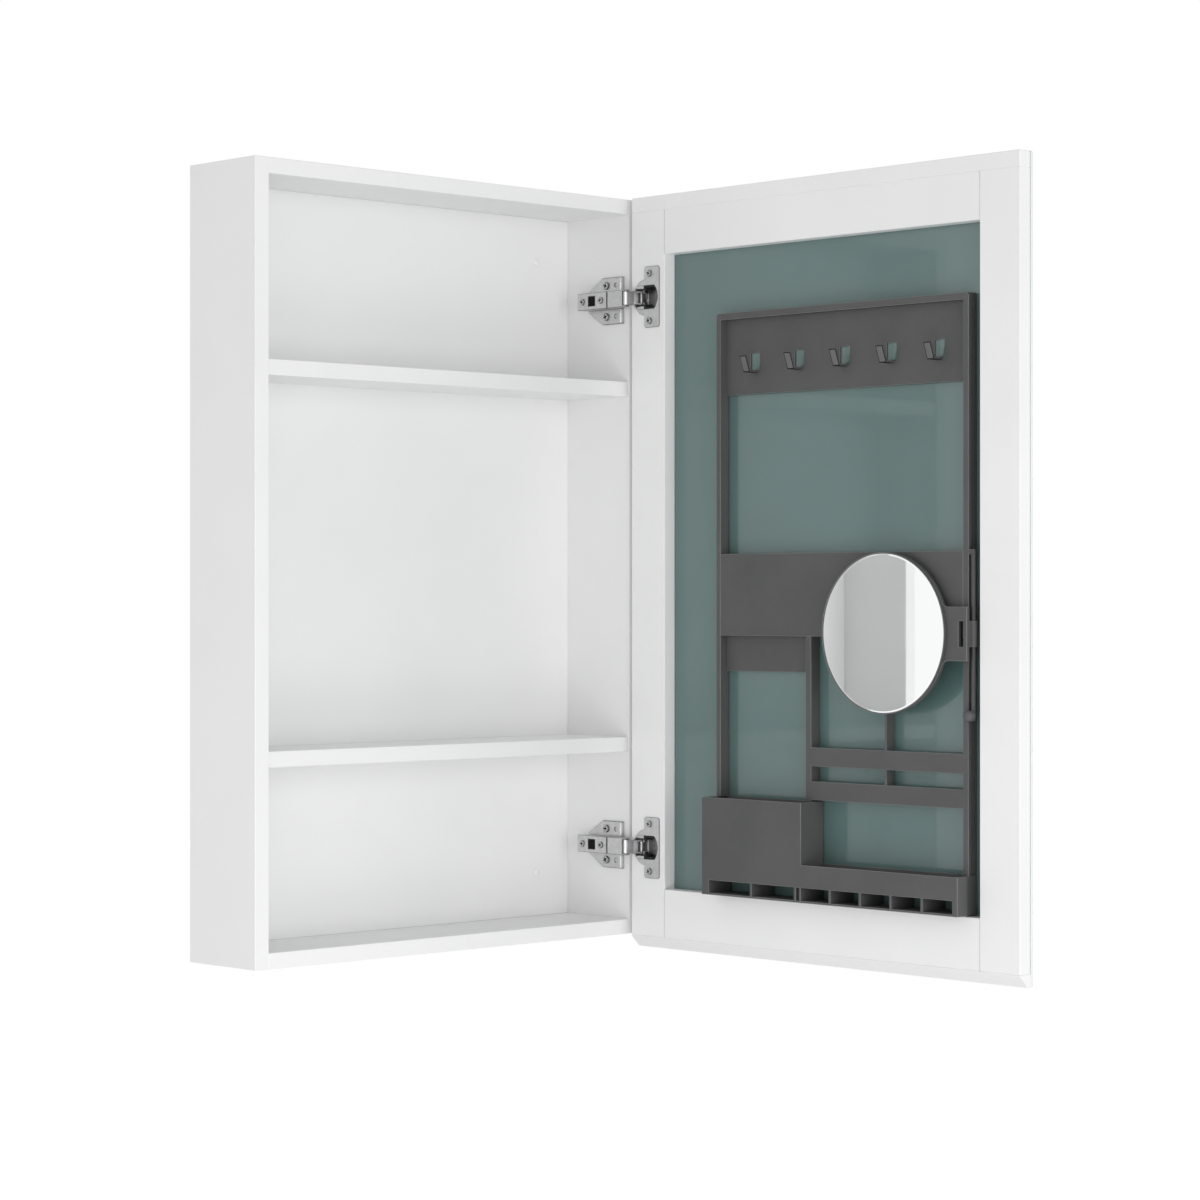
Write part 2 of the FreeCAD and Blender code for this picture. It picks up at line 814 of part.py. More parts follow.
def hook_strip():
    strip_z = (cell_top - hook_strip_height, cell_top)
    window_z = (cell_top - hook_window_drop - hook_window_height, cell_top - hook_window_drop)
    foot_bottom = window_z[0] - hook_wall
    foot_v = recess_v[0] - hook_foot_reach
    tip_v = foot_v - hook_lean
    tip_z = foot_bottom + hook_height
    lean_wall = hook_wall * math.hypot(1, hook_lean / hook_height)
    profile = [
        (recess_v[0], foot_bottom),
        (foot_v, foot_bottom),
        (tip_v, tip_z),
        (tip_v + lean_wall, tip_z),
        (foot_v + lean_wall - hook_lean * hook_wall / hook_height, foot_bottom + hook_wall),
        (recess_v[0], foot_bottom + hook_wall),
    ]
    pieces = [door_box((cell_left, cell_right), recess_v, strip_z)]
    windows = []
    middle = (cell_left + cell_right) / 2 + hook_row_shift
    for index in range(hook_count):
        u = middle + (index - (hook_count - 1) / 2) * hook_spacing
        window_u = (u - hook_window_width / 2, u + hook_window_width / 2)
        windows.append(door_box(window_u, recess_v, window_z))
        pieces.append(door_prism(profile, (u - hook_width / 2, u + hook_width / 2)))
    return fuse(pieces).cut(windows)


def organizer_band():
    apron_u = (cell_left, wide_divider_u[0])
    pieces = [
        door_box((cell_left, cell_right), front_v, band_z),
        door_box(apron_u, (front_v[0], recess_v[1]), (band_z[0], band_z[0] + plate_wall)),
        door_box(apron_u, recess_v, (band_z[0] - band_apron_height, band_z[0])),
    ]
    return fuse(pieces)


def lower_bin():
    """Stepped open bin on a row of feet."""
    pocket_v = (bin_front_v + bin_wall, organizer_back_v - bin_wall)
    floor_z = bin_bottom + bin_floor_height
    foot_z = (bin_bottom + bin_base_thickness, floor_z)
    pocket_floor_z = floor_z + bin_wall
    nose_right = organizer_right + bin_nose_width
    nose_v = (bin_front_v, bin_front_v + bin_nose_depth)
    pieces = [
        door_box((organizer_left, bin_step_u), (bin_front_v, organizer_back_v), (bin_bottom, bin_top)),
        door_box((bin_step_u, organizer_right), (bin_front_v, organizer_back_v), (bin_bottom, bin_low_top)),
        door_box((organizer_right, nose_right), nose_v, (bin_bottom, bin_low_top)),
    ]
    cuts = [
        door_box((organizer_left + bin_wall, bin_step_u - bin_wall), pocket_v, (pocket_floor_z, bin_top)),
        door_box((bin_step_u, organizer_right - bin_wall), pocket_v, (pocket_floor_z, bin_low_top)),
    ]
    foot_v = (bin_front_v, organizer_back_v)
    groove_u = (bin_step_u - foot_rib - foot_groove_width, bin_step_u - foot_rib)
    cuts.append(door_box(groove_u, foot_v, foot_z))
    runs = (
        (organizer_left + tall_foot_margin, groove_u[0] - foot_rib, tall_foot_count),
        (bin_step_u, organizer_right - bin_wall, low_foot_count),
    )
    for start, end, count in runs:
        pitch = (end - start + foot_rib) / count
        for index in range(count):
            left = start + index * pitch
            cuts.append(door_box((left, left + pitch - foot_rib), foot_v, foot_z))
    return fuse(pieces).cut(cuts)


def tape_pads():
    """Double-sided pads between the organizer and the back of the mirror."""
    pad_v = (organizer_back_v, backing_v)
    wall_u = (cell_right, cell_right + right_wall_width)
    rail_u = (organizer_left, cell_left)
    pads = []
    for u_range, bottom in ((rail_u, bin_top), (wall_u, bin_low_top)):
        for top in (organizer_top, bottom + tape_pad_length):
            pads.append(door_box(u_range, pad_v, (top - tape_pad_length, top)))
    bar_middle = (cell_left + cell_right) / 2
    bar_u = (bar_middle - tape_pad_length / 2, bar_middle + tape_pad_length / 2)
    pads.append(door_box(bar_u, pad_v, (cell_top, organizer_top)))
    bin_middle = (organizer_left + organizer_right) / 2
    bin_u = (bin_middle - tape_pad_length / 2, bin_middle + tape_pad_length / 2)
    bin_pad_bottom = bin_bottom + bin_floor_height
    pads.append(door_box(bin_u, pad_v, (bin_pad_bottom, bin_pad_bottom + bin_floor_height)))
    return pads


# Rod, sleeve and shaving mirror
sleeve_bore = rod_radius + rod_clearance
sleeve_radius = sleeve_bore + sleeve_wall
clip_bore = sleeve_radius + rod_clearance
clip_radius = clip_bore + clip_wall
bracket_back_v = organizer_front_v - bracket_gap
mirror_u = rod_u - shaving_mirror_reach
mirror_z = (sleeve_z[0] + sleeve_z[1]) / 2
bracket_v = (bracket_back_v - bracket_thickness, bracket_back_v)
frame_back_v = bracket_v[0]
frame_front_v = frame_back_v - shaving_frame_thickness
shaving_radius = shaving_mirror_diameter / 2
shaving_glass_radius = shaving_radius - shaving_frame_rim


def rod_knob():
    front = rod_v - rod_lug_half_width
    z = rod_bottom + rod_bottom_lug_seat - rod_bottom_lug_height / 2
    return cylinder(door_point(rod_u, front - knob_height, z), door_point(rod_u, front, z), knob_diameter / 2)


def friction_sleeve():
    tube = rod_cylinder(sleeve_radius, sleeve_z)
    return tube.cut(rod_cylinder(sleeve_bore, sleeve_z))


def mirror_disc(radius, v_range):
    start = door_point(mirror_u, v_range[0], mirror_z)
    return cylinder(start, door_point(mirror_u, v_range[1], mirror_z), radius)


def mirror_bracket():
    """Round plate behind the mirror with a flared arm, and a clip around the sleeve at the arm's end."""
    half = bracket_height / 2
    end_u = rod_u + bracket_end_lead
    slot_right = rod_u - clip_radius
    plate = fuse([
        mirror_disc(shaving_radius, bracket_v),
        door_box((mirror_u, end_u), bracket_v, (mirror_z - half, mirror_z + half)),
    ])
    neck_u = mirror_u + math.sqrt(shaving_radius ** 2 - half ** 2)
    corners = through_edges(plate, neck_u, mirror_z - half) + through_edges(plate, neck_u, mirror_z + half)
    plate = plate.makeFillet(bracket_flare_radius, corners)
    clip = [
        door_box((slot_right, end_u), (bracket_v[0], rod_v), sleeve_z),
        rod_cylinder(clip_radius, sleeve_z),
    ]
    cuts = [
        mirror_disc(shaving_radius - bracket_ring_width, bracket_v),
        door_box((slot_right - bracket_slot_width, slot_right), bracket_v, sleeve_z),
        rod_cylinder(clip_bore, sleeve_z),
    ]
    return fuse([plate] + clip).cut(cuts)


def shaving_mirror_frame():
    disc = mirror_disc(shaving_radius, (frame_front_v, frame_back_v))
    pocket_v = (frame_front_v, frame_front_v + shaving_glass_thickness)
    return disc.cut(mirror_disc(shaving_glass_radius + shaving_glass_clearance, pocket_v))


def shaving_mirror_glass():
    return mirror_disc(shaving_glass_radius, (frame_front_v, frame_front_v + shaving_glass_thickness))


def plate_screws():
    sizes = (plate_screw_head_diameter, plate_screw_head_height, plate_screw_diameter, plate_screw_depth)
    return [screw(seat, (1, 0, 0), *sizes) for seat in plate_screw_seats()]


def arm_screws():
    sizes = (arm_screw_head_diameter, arm_screw_head_height, arm_screw_diameter, arm_screw_depth)
    return [screw(seat, (1, 0, 0), *sizes) for z in hinge_heights.values() for seat in arm_screw_seats(z)]


def cup_screws():
    sizes = (cup_screw_head_diameter, cup_screw_head_height, cup_screw_diameter, cup_screw_depth)
    return [screw(seat, (1, 0, 0), *sizes) for z in hinge_heights.values() for seat in cup_screw_seats(z)]


nodes = {
    "left_side_panel": side_panel(-1),
    "right_side_panel": side_panel(1),
    "top_panel": deck_panel(1),
    "bottom_panel": deck_panel(-1),
    "back_panel": back_panel(),
    "upper_shelf": shelf(upper_shelf_z),
    "lower_shelf": shelf(lower_shelf_z),
    "carcass_dowels": dowels(carcass_dowel_axes(), carcass_dowel_diameter),
    "shelf_dowels": dowels(shelf_dowel_axes(), shelf_dowel_diameter),
    "plate_screws": plate_screws(),
    "arm_screws": arm_screws(),
    "arm_pins": arm_pins(),
    "hinge_stile": hinge_stile(),
    "latch_stile": latch_stile(),
    "top_rail": rail((window_top, frame_top)),
    "bottom_rail": rail((frame_bottom, window_bottom)),
    "top_edge_strip": eased(door_box((0, door_width), (0, frame_thickness), (frame_top, door_top))),
    "finger_pull_strip": finger_pull_strip(),
    "frame_dowels": dowels(frame_dowel_axes(), frame_dowel_diameter),
    "mirror_backing": pane((backing_v, glass_v)),
    "mirror_pane": pane((glass_v, glass_front_v)),
    "cup_screws": cup_screws(),
    "cup_pins": cup_pins(),
    "organizer_frame": organizer_frame(),
    "hook_strip": hook_strip(),
    "organizer_band": organizer_band(),
    "lower_bin": lower_bin(),
    "tape_pads": tape_pads(),
    "mirror_rod": rod_cylinder(rod_radius, (rod_bottom, rod_top)),
    "rod_knob": rod_knob(),
    "friction_sleeve": friction_sleeve(),
    "mirror_bracket": mirror_bracket(),
    "shaving_mirror_frame": shaving_mirror_frame(),
    "shaving_mirror_glass": shaving_mirror_glass(),
}
for name, z in hinge_heights.items():
    nodes[name + "_mounting_plate"] = mounting_plate(z)
    nodes[name + "_hinge_arm"] = hinge_arm(z)
    nodes[name + "_inner_link"] = inner_link(z)
    nodes[name + "_outer_link"] = outer_link(z)
    nodes[name + "_hinge_cup"] = hinge_cup(z)
    nodes[name + "_cup_insert"] = cup_insert(z)

os.makedirs("parts", exist_ok=True)
for name, piece in nodes.items():
    shape = Part.makeCompound(piece) if isinstance(piece, list) else piece
    if not shape.isValid():
        raise ValueError(name + " is not a valid solid")
    shape.exportStep("parts/" + name + ".step")
    print(f"{name}: {len(shape.Solids)} solid(s), {shape.Volume / 1000:.2f} cm3")

print("tip pin", tip_pin, "inner cup pin", inner_cup_pin)
print("rear pin", rear_pin, "outer cup pin", outer_cup_pin)
print("rod", door_point(rod_u, rod_v, 0), "hinge heights", hinge_heights)
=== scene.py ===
# %% [markdown]
# A white wall medicine cabinet hangs with its mirror door open at a right angle. The CAD model is the frame of this
# scene: every panel, hinge piece and organizer piece arrives as a separate solid in metres, already in its place.
# Here the solids get their finishes, the fine pieces that a solid model leaves plain, a camera and soft light.

import json
import math

import bmesh
import bpy
import numpy as np
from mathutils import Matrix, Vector


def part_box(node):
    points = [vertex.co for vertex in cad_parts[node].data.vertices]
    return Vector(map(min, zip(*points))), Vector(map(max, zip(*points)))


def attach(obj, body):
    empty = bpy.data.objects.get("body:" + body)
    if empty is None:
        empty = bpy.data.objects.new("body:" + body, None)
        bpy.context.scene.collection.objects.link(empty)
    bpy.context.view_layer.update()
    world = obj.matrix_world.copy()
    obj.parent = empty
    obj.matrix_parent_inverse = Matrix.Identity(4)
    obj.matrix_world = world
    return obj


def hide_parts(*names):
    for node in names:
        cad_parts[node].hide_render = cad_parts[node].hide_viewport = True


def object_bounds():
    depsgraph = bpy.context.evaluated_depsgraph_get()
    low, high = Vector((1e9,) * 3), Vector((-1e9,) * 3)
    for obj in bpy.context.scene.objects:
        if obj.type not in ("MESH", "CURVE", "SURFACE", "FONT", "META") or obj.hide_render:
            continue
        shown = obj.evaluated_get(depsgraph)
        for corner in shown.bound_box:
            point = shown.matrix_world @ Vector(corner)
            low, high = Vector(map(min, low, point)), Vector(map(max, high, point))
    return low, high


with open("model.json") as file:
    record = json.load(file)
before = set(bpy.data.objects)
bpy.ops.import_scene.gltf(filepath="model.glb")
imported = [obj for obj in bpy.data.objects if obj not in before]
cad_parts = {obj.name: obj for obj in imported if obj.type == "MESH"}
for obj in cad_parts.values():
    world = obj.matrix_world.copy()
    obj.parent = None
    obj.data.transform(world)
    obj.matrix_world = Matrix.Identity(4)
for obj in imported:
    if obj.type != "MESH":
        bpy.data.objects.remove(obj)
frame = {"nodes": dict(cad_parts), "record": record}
nodes = frame["nodes"]
record = frame["record"]
cad_low, cad_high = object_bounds()
print("CAD nodes:", len(nodes), "box from", tuple(cad_low), "to", tuple(cad_high))

# %% [markdown]
# A finish is a small tree of shader nodes. All of them start the same way: Object coordinates, which are metres here,
# feed noise textures, and the noise moves the colour, the roughness and the bump a little. Working in metres keeps
# the grain at its real size on every piece, large or small, so one helper can begin each finish.

# %% Helpers for finishes
def new_finish(name):
    """An empty node material; returns it with its node tree and its Principled shader."""
    material = bpy.data.materials.new(name)
    material.use_nodes = True
    tree = material.node_tree
    shader = tree.nodes["Principled BSDF"]
    return material, tree, shader


def grain(tree, size, stretch=(1, 1, 1), detail=4.0):
    """Noise whose blobs are about `size` metres across, stretched along the axes; returns its value socket."""
    place = tree.nodes.new("ShaderNodeTexCoord")
    scale = tree.nodes.new("ShaderNodeMapping")
    scale.inputs["Scale"].default_value = [1 / (size * factor) for factor in stretch]
    noise = tree.nodes.new("ShaderNodeTexNoise")
    noise.inputs["Scale"].default_value = 1.0
    noise.inputs["Detail"].default_value = detail
    tree.links.new(place.outputs["Object"], scale.inputs["Vector"])
    tree.links.new(scale.outputs["Vector"], noise.inputs["Vector"])
    return noise.outputs["Fac"]


def span(tree, value, start, end, low, high):
    """Carries a value that runs from start to end to the span from low to high, and holds it there."""
    carry = tree.nodes.new("ShaderNodeMapRange")
    carry.inputs["From Min"].default_value = start
    carry.inputs["From Max"].default_value = end
    carry.inputs["To Min"].default_value = low
    carry.inputs["To Max"].default_value = high
    tree.links.new(value, carry.inputs["Value"])
    return carry.outputs["Result"]


noise_low, noise_high = 0.3, 0.7


def between(tree, value, low, high):
    """Carries a noise value, which mostly lies from noise_low to noise_high, to the span from low to high."""
    return span(tree, value, noise_low, noise_high, low, high)


def along(tree, axis, kind="Object"):
    """One coordinate of the point being shaded, in metres for Object coordinates."""
    place = tree.nodes.new("ShaderNodeTexCoord")
    parts = tree.nodes.new("ShaderNodeSeparateXYZ")
    tree.links.new(place.outputs[kind], parts.inputs["Vector"])
    return parts.outputs[axis]


def blend_colours(tree, value, first, second):
    """Mixes two colours, each a triple or a socket, by a value from 0 to 1; returns the colour socket."""
    mix = tree.nodes.new("ShaderNodeMix")
    mix.data_type = "RGBA"
    for name, colour in (("A", first), ("B", second)):
        if isinstance(colour, tuple):
            mix.inputs[name].default_value = (*colour, 1)
        else:
            tree.links.new(colour, mix.inputs[name])
    tree.links.new(value, mix.inputs["Factor"])
    return mix.outputs["Result"]


def bump(tree, shader, value, height, strength=1.0):
    """Raises the surface by `height` metres where the value is 1."""
    node = tree.nodes.new("ShaderNodeBump")
    node.inputs["Strength"].default_value = strength
    node.inputs["Distance"].default_value = height
    tree.links.new(value, node.inputs["Height"])
    tree.links.new(node.outputs["Normal"], shader.inputs["Normal"])


# %% [markdown]
# The board is sprayed with a satin white paint. Real sprayed paint is never one flat tone: it has a slow drift in
# colour over a hand's width, an orange-peel skin a millimetre or two across and a sheen that changes with it.

# %% White paint
def white_paint():
    material, tree, shader = new_finish("sprayed_white_paint")
    drift = between(tree, grain(tree, 0.12), 0.0, 1.0)
    colour = blend_colours(tree, drift, (0.848, 0.848, 0.850), (0.872, 0.872, 0.872))
    tree.links.new(colour, shader.inputs["Base Color"])
    tree.links.new(between(tree, grain(tree, 0.02), 0.36, 0.46), shader.inputs["Roughness"])
    bump(tree, shader, grain(tree, 0.0016, detail=2.0), 0.00001)
    return material


# %% [markdown]
# The organizer is a moulded plastic tray in dark grey. Its skin comes from a spark-eroded mould: a very fine even
# grain that scatters light, over faint flow marks. Its rounded edges get a second, paler finish of their own, a
# painted highlight that draws them as thin pale lines.

# %% Organizer plastic
def organizer_plastic(name="moulded_grey_plastic", dark=0.080, light=0.092):
    material, tree, shader = new_finish(name)
    flow = between(tree, grain(tree, 0.06), 0.0, 1.0)
    colour = blend_colours(tree, flow, (dark, dark, dark + 0.001), (light, light, light))
    tree.links.new(colour, shader.inputs["Base Color"])
    tree.links.new(between(tree, grain(tree, 0.01), 0.50, 0.62), shader.inputs["Roughness"])
    shader.inputs["Specular IOR Level"].default_value = 0.35
    bump(tree, shader, grain(tree, 0.0005, detail=2.0), 0.000008)
    return material


# Painted highlight: a paler grey than the tray, for the rounded edges, drawn as thin pale lines.
def painted_highlight_edge():
    material, tree, shader = new_finish("grey_edge_painted_highlight")
    flow = between(tree, grain(tree, 0.02), 0.0, 1.0)
    colour = blend_colours(tree, flow, (0.150, 0.150, 0.151), (0.180, 0.180, 0.180))
    tree.links.new(colour, shader.inputs["Base Color"])
    tree.links.new(between(tree, grain(tree, 0.004), 0.30, 0.40), shader.inputs["Roughness"])
    return material


def dark_plastic():
    material, tree, shader = new_finish("dark_hinge_plastic")
    flow = between(tree, grain(tree, 0.01), 0.0, 1.0)
    colour = blend_colours(tree, flow, (0.018, 0.018, 0.019), (0.028, 0.028, 0.028))
    tree.links.new(colour, shader.inputs["Base Color"])
    tree.links.new(between(tree, grain(tree, 0.004), 0.45, 0.60), shader.inputs["Roughness"])
    shader.inputs["Specular IOR Level"].default_value = 0.3
    bump(tree, shader, grain(tree, 0.0005, detail=2.0), 0.000006)
    return material


# Painted shade: a near-black plastic for pieces that stand in for shade in the arm's window, its seam and round the
# hooks.
def painted_shade_plastic():
    material, tree, shader = new_finish("near_black_painted_shade")
    flow = between(tree, grain(tree, 0.002), 0.0, 1.0)
    colour = blend_colours(tree, flow, (0.006, 0.006, 0.006), (0.014, 0.014, 0.014))
    tree.links.new(colour, shader.inputs["Base Color"])
    tree.links.new(between(tree, grain(tree, 0.002), 0.75, 0.90), shader.inputs["Roughness"])
    shader.inputs["Specular IOR Level"].default_value = 0.15
    return material


# %% [markdown]
# Hinges are pressed from steel strip and nickel plated. The strip was rolled along its length, so fine drawn lines
# run that way: noise stretched forty times along Y gives them. The rounded edges carry a dark line of painted shade,
# the links are a greyer steel with painted highlight and shade, and the inside of a cup is painted darker as shade.

# %% Nickel-plated steel
knuckle_start_y, knuckle_end_y = -0.1095, -0.1112
cup_mouth_y, cup_deep_y = -0.1125, -0.1215


def drawn_steel(name, dark, light, rough_low=0.28, rough_high=0.42):
    material, tree, shader = new_finish(name)
    lines = grain(tree, 0.0004, stretch=(1, 40, 1), detail=3.0)
    tone = between(tree, grain(tree, 0.004), 0.0, 1.0)
    colour = blend_colours(tree, tone, dark, light)
    tree.links.new(colour, shader.inputs["Base Color"])
    tree.links.new(between(tree, lines, rough_low, rough_high), shader.inputs["Roughness"])
    shader.inputs["Metallic"].default_value = 1.0
    bump(tree, shader, lines, 0.000004)
    return material, tree, shader, colour


def hinge_steel():
    return drawn_steel("nickel_plated_steel", (0.56, 0.56, 0.565), (0.64, 0.64, 0.645))[0]


# Painted shade: a dark steel for the rounded edges, drawn as a dark outline.
def painted_shade_steel_edge():
    return drawn_steel("steel_edge_painted_shade", (0.10, 0.10, 0.10), (0.16, 0.16, 0.16), 0.40, 0.55)[0]


# Painted highlight: a paler, smoother copy of the plated steel, for the plate lips and the cup springs.
def painted_highlight_lip():
    return drawn_steel("bent_steel_painted_highlight", (0.84, 0.84, 0.84), (0.90, 0.90, 0.90), 0.16, 0.24)[0]


def cup_steel():
    """Plated on the flange; below the door's back face, where X passes the flange's seat, a dark grey of painted
    shade.
    """
    material, tree, shader, plated = drawn_steel("hinge_cup_steel_painted_shade", (0.56, 0.56, 0.565), (0.64, 0.64, 0.645))
    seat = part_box("hinge_stile")[0].x
    depth = span(tree, along(tree, "X"), seat - 0.0004, seat + 0.0006, 0.0, 1.0)
    # Painted shade: the steel inside the cup's hollow is painted a dark grey.
    cup_shade_noise = between(tree, grain(tree, 0.003), 0.0, 1.0)
    inside = blend_colours(tree, cup_shade_noise, (0.24, 0.24, 0.245), (0.32, 0.32, 0.325))
    colour = blend_colours(tree, depth, plated, inside)
    tree.links.new(colour, shader.inputs["Base Color"])
    return material


def link_steel_painted_light():
    """A grey steel with a painted highlight at the knuckle on the arm and painted shade that darkens it towards the
    cup, along -Y.
    """
    material, tree, shader, _ = drawn_steel("link_steel_painted_light", (0.28, 0.28, 0.285), (0.36, 0.36, 0.365))
    tone = between(tree, grain(tree, 0.003), 0.0, 1.0)
    # Painted highlight at the knuckle, painted shade deeper into the cup.
    bright = blend_colours(tree, tone, (0.74, 0.74, 0.745), (0.82, 0.82, 0.82))
    middle = blend_colours(tree, tone, (0.22, 0.22, 0.225), (0.27, 0.27, 0.275))
    deep = blend_colours(tree, tone, (0.10, 0.10, 0.102), (0.14, 0.14, 0.142))
    past_knuckle = span(tree, along(tree, "Y"), knuckle_start_y, knuckle_end_y, 0.0, 1.0)
    into_cup = span(tree, along(tree, "Y"), cup_mouth_y, cup_deep_y, 0.0, 1.0)
    grey = blend_colours(tree, into_cup, middle, deep)
    tree.links.new(blend_colours(tree, past_knuckle, bright, grey), shader.inputs["Base Color"])
    return material


# %% [markdown]
# The back of the mirror carries a glossy grey-green protective paint. It lies on glass, so it is very smooth: a clear
# coat reflects the shelves and the organizer, while the paint below shows a faint cloudy pigment. At the rim the coat
# was ground off with the glass, so faces that look sideways stay pale.

# %% Paint on the mirror's back
def faces_door_way(tree):
    """1 where a face looks along the door's X, front or back, and 0 on its rims."""
    facing = tree.nodes.new("ShaderNodeMath")
    facing.operation = "ABSOLUTE"
    tree.links.new(along(tree, "X", "Normal"), facing.inputs[0])
    return span(tree, facing.outputs["Value"], 0.4, 0.6, 0.0, 1.0)


def mirror_back_paint():
    material, tree, shader = new_finish("grey_green_mirror_paint")
    cloud = between(tree, grain(tree, 0.15), 0.0, 1.0)
    paint = blend_colours(tree, cloud, (0.090, 0.158, 0.152), (0.101, 0.175, 0.169))
    colour = blend_colours(tree, faces_door_way(tree), (0.80, 0.82, 0.815), paint)
    tree.links.new(colour, shader.inputs["Base Color"])
    tree.links.new(between(tree, grain(tree, 0.03), 0.30, 0.36), shader.inputs["Roughness"])
    shader.inputs["Coat Weight"].default_value = 1.0
    shader.inputs["Coat Roughness"].default_value = 0.02
    bump(tree, shader, grain(tree, 0.004, detail=2.0), 0.0000015)
    return material


# %% [markdown]
# Silvered glass reflects on its faces, and its cut edge shows the pale ground glass itself. The direction of a face
# is read from the object's own normals, which stay with the piece when the door turns. The door's glass is thicker
# than the shaving mirror's, so what it reflects is a little darker and greener, and its ground rim gets a finish of
# its own.

# %% Silvered glass
def silvered_glass(name, reflected):
    material, tree, shader = new_finish(name)
    silver = faces_door_way(tree)
    colour = blend_colours(tree, silver, (0.70, 0.74, 0.73), reflected)
    tree.links.new(colour, shader.inputs["Base Color"])
    tree.links.new(silver, shader.inputs["Metallic"])
    tree.links.new(between(tree, grain(tree, 0.05), 0.012, 0.022), shader.inputs["Roughness"])
    return material


def ground_glass():
    material, tree, shader = new_finish("ground_glass_rim")
    cloud = between(tree, grain(tree, 0.01), 0.0, 1.0)
    colour = blend_colours(tree, cloud, (0.79, 0.815, 0.81), (0.82, 0.835, 0.83))
    tree.links.new(colour, shader.inputs["Base Color"])
    tree.links.new(between(tree, grain(tree, 0.004), 0.25, 0.35), shader.inputs["Roughness"])
    bump(tree, shader, grain(tree, 0.0004, detail=2.0), 0.000004)
    return material


# %% [markdown]
# A few pieces hide inside the joints: the dowels are plain beech and the pads are dark foam tape.

# %% Dowel wood and foam tape
def dowel_wood():
    material, tree, shader = new_finish("beech_dowel")
    fibre = between(tree, grain(tree, 0.0012, stretch=(12, 1, 1)), 0.0, 1.0)
    colour = blend_colours(tree, fibre, (0.46, 0.29, 0.15), (0.60, 0.41, 0.23))
    tree.links.new(colour, shader.inputs["Base Color"])
    shader.inputs["Roughness"].default_value = 0.7
    bump(tree, shader, fibre, 0.00003)
    return material


def foam_tape():
    material, tree, shader = new_finish("dark_foam_tape")
    cells = between(tree, grain(tree, 0.0006), 0.0, 1.0)
    colour = blend_colours(tree, cells, (0.045, 0.045, 0.045), (0.065, 0.065, 0.065))
    tree.links.new(colour, shader.inputs["Base Color"])
    shader.inputs["Roughness"].default_value = 0.85
    bump(tree, shader, cells, 0.00005)
    return material


# %% [markdown]
# The part's record names the slot that each solid takes its finish from, so one loop dresses them all.

# %% Give every CAD node its finish
finishes = {
    "white_paint": white_paint(),
    "organizer_plastic": organizer_plastic(),
    "sleeve_plastic": dark_plastic(),
    "insert_plastic": dark_plastic(),
    "hinge_steel": hinge_steel(),
    "mirror_back_paint": mirror_back_paint(),
    "mirror_glass": silvered_glass("silvered_door_glass", (0.78, 0.815, 0.805)),
    "shaving_glass": silvered_glass("silvered_shaving_glass", (0.94, 0.95, 0.945)),
    "dowel_wood": dowel_wood(),
    "tape": foam_tape(),
}
slot_of = {row["node"]: row["material_slot"] for row in record["subparts"]}
body_of = {node: body for body, names in record["behaviour"]["bodies"].items() for node in names}
for name, slot_name in slot_of.items():
    nodes[name].data.materials.clear()
    nodes[name].data.materials.append(finishes[slot_name])
print("finishes:", sorted(finishes))

# %% [markdown]
# A solid from CAD has knife-sharp edges, and real ones never do: moulded plastic and pressed steel both turn over a
# few tenths of a millimetre. A copy of the solid is made whole first, by merging its loose triangles and joining
# those that lie in one plane, and then a Bevel modifier rounds every sharp edge. The rounded strips take the second
# finish, which paints a thin line there: a pale highlight on the plastic and a dark shade on the steel. Modelling each
# of these shapes again would only repeat the CAD.

# %% Rounded copies of solids
merge_distance = 0.000002
flat_angle, smooth_angle, corner_angle = (math.radians(degrees) for degrees in (0.5, 35, 40))


def softened(name, width, finish, edge_finish):
    """Stands for a CAD node with its sharp edges rounded over `width` metres."""
    mesh = nodes[name].data.copy()
    mesh.name = name + "_softened"
    skin = bmesh.new()
    skin.from_mesh(mesh)
    bmesh.ops.remove_doubles(skin, verts=skin.verts, dist=merge_distance)
    bmesh.ops.dissolve_limit(skin, angle_limit=flat_angle, verts=skin.verts, edges=skin.edges)
    bmesh.ops.triangulate(skin, faces=skin.faces)
    skin.edges.ensure_lookup_table()
    turn = np.array([edge.calc_face_angle_signed(0.0) for edge in skin.edges])
    skin.to_mesh(mesh)
    skin.free()
    outer_corner = (turn > corner_angle).astype(np.float32)
    mesh.attributes.new("bevel_weight_edge", "FLOAT", "EDGE").data.foreach_set("value", outer_corner)
    if "custom_normal" in mesh.attributes:
        mesh.attributes.remove(mesh.attributes["custom_normal"])
    mesh.polygons.foreach_set("use_smooth", np.ones(len(mesh.polygons), dtype=bool))
    mesh.set_sharp_from_angle(angle=smooth_angle)
    mesh.materials.clear()
    mesh.materials.append(finish)
    mesh.materials.append(edge_finish)
    mesh.polygons.foreach_set("material_index", np.zeros(len(mesh.polygons), dtype=np.int32))
    piece = bpy.data.objects.new(name + "_softened", mesh)
    bpy.context.scene.collection.objects.link(piece)
    rounding = piece.modifiers.new("rounded_edges", "BEVEL")
    rounding.width = width
    rounding.segments = 2
    rounding.limit_method = "WEIGHT"
    rounding.use_clamp_overlap = False
    rounding.harden_normals = True
    rounding.loop_slide = False
    rounding.material = 1
    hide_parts(name)
    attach(piece, body_of[name])
    return piece


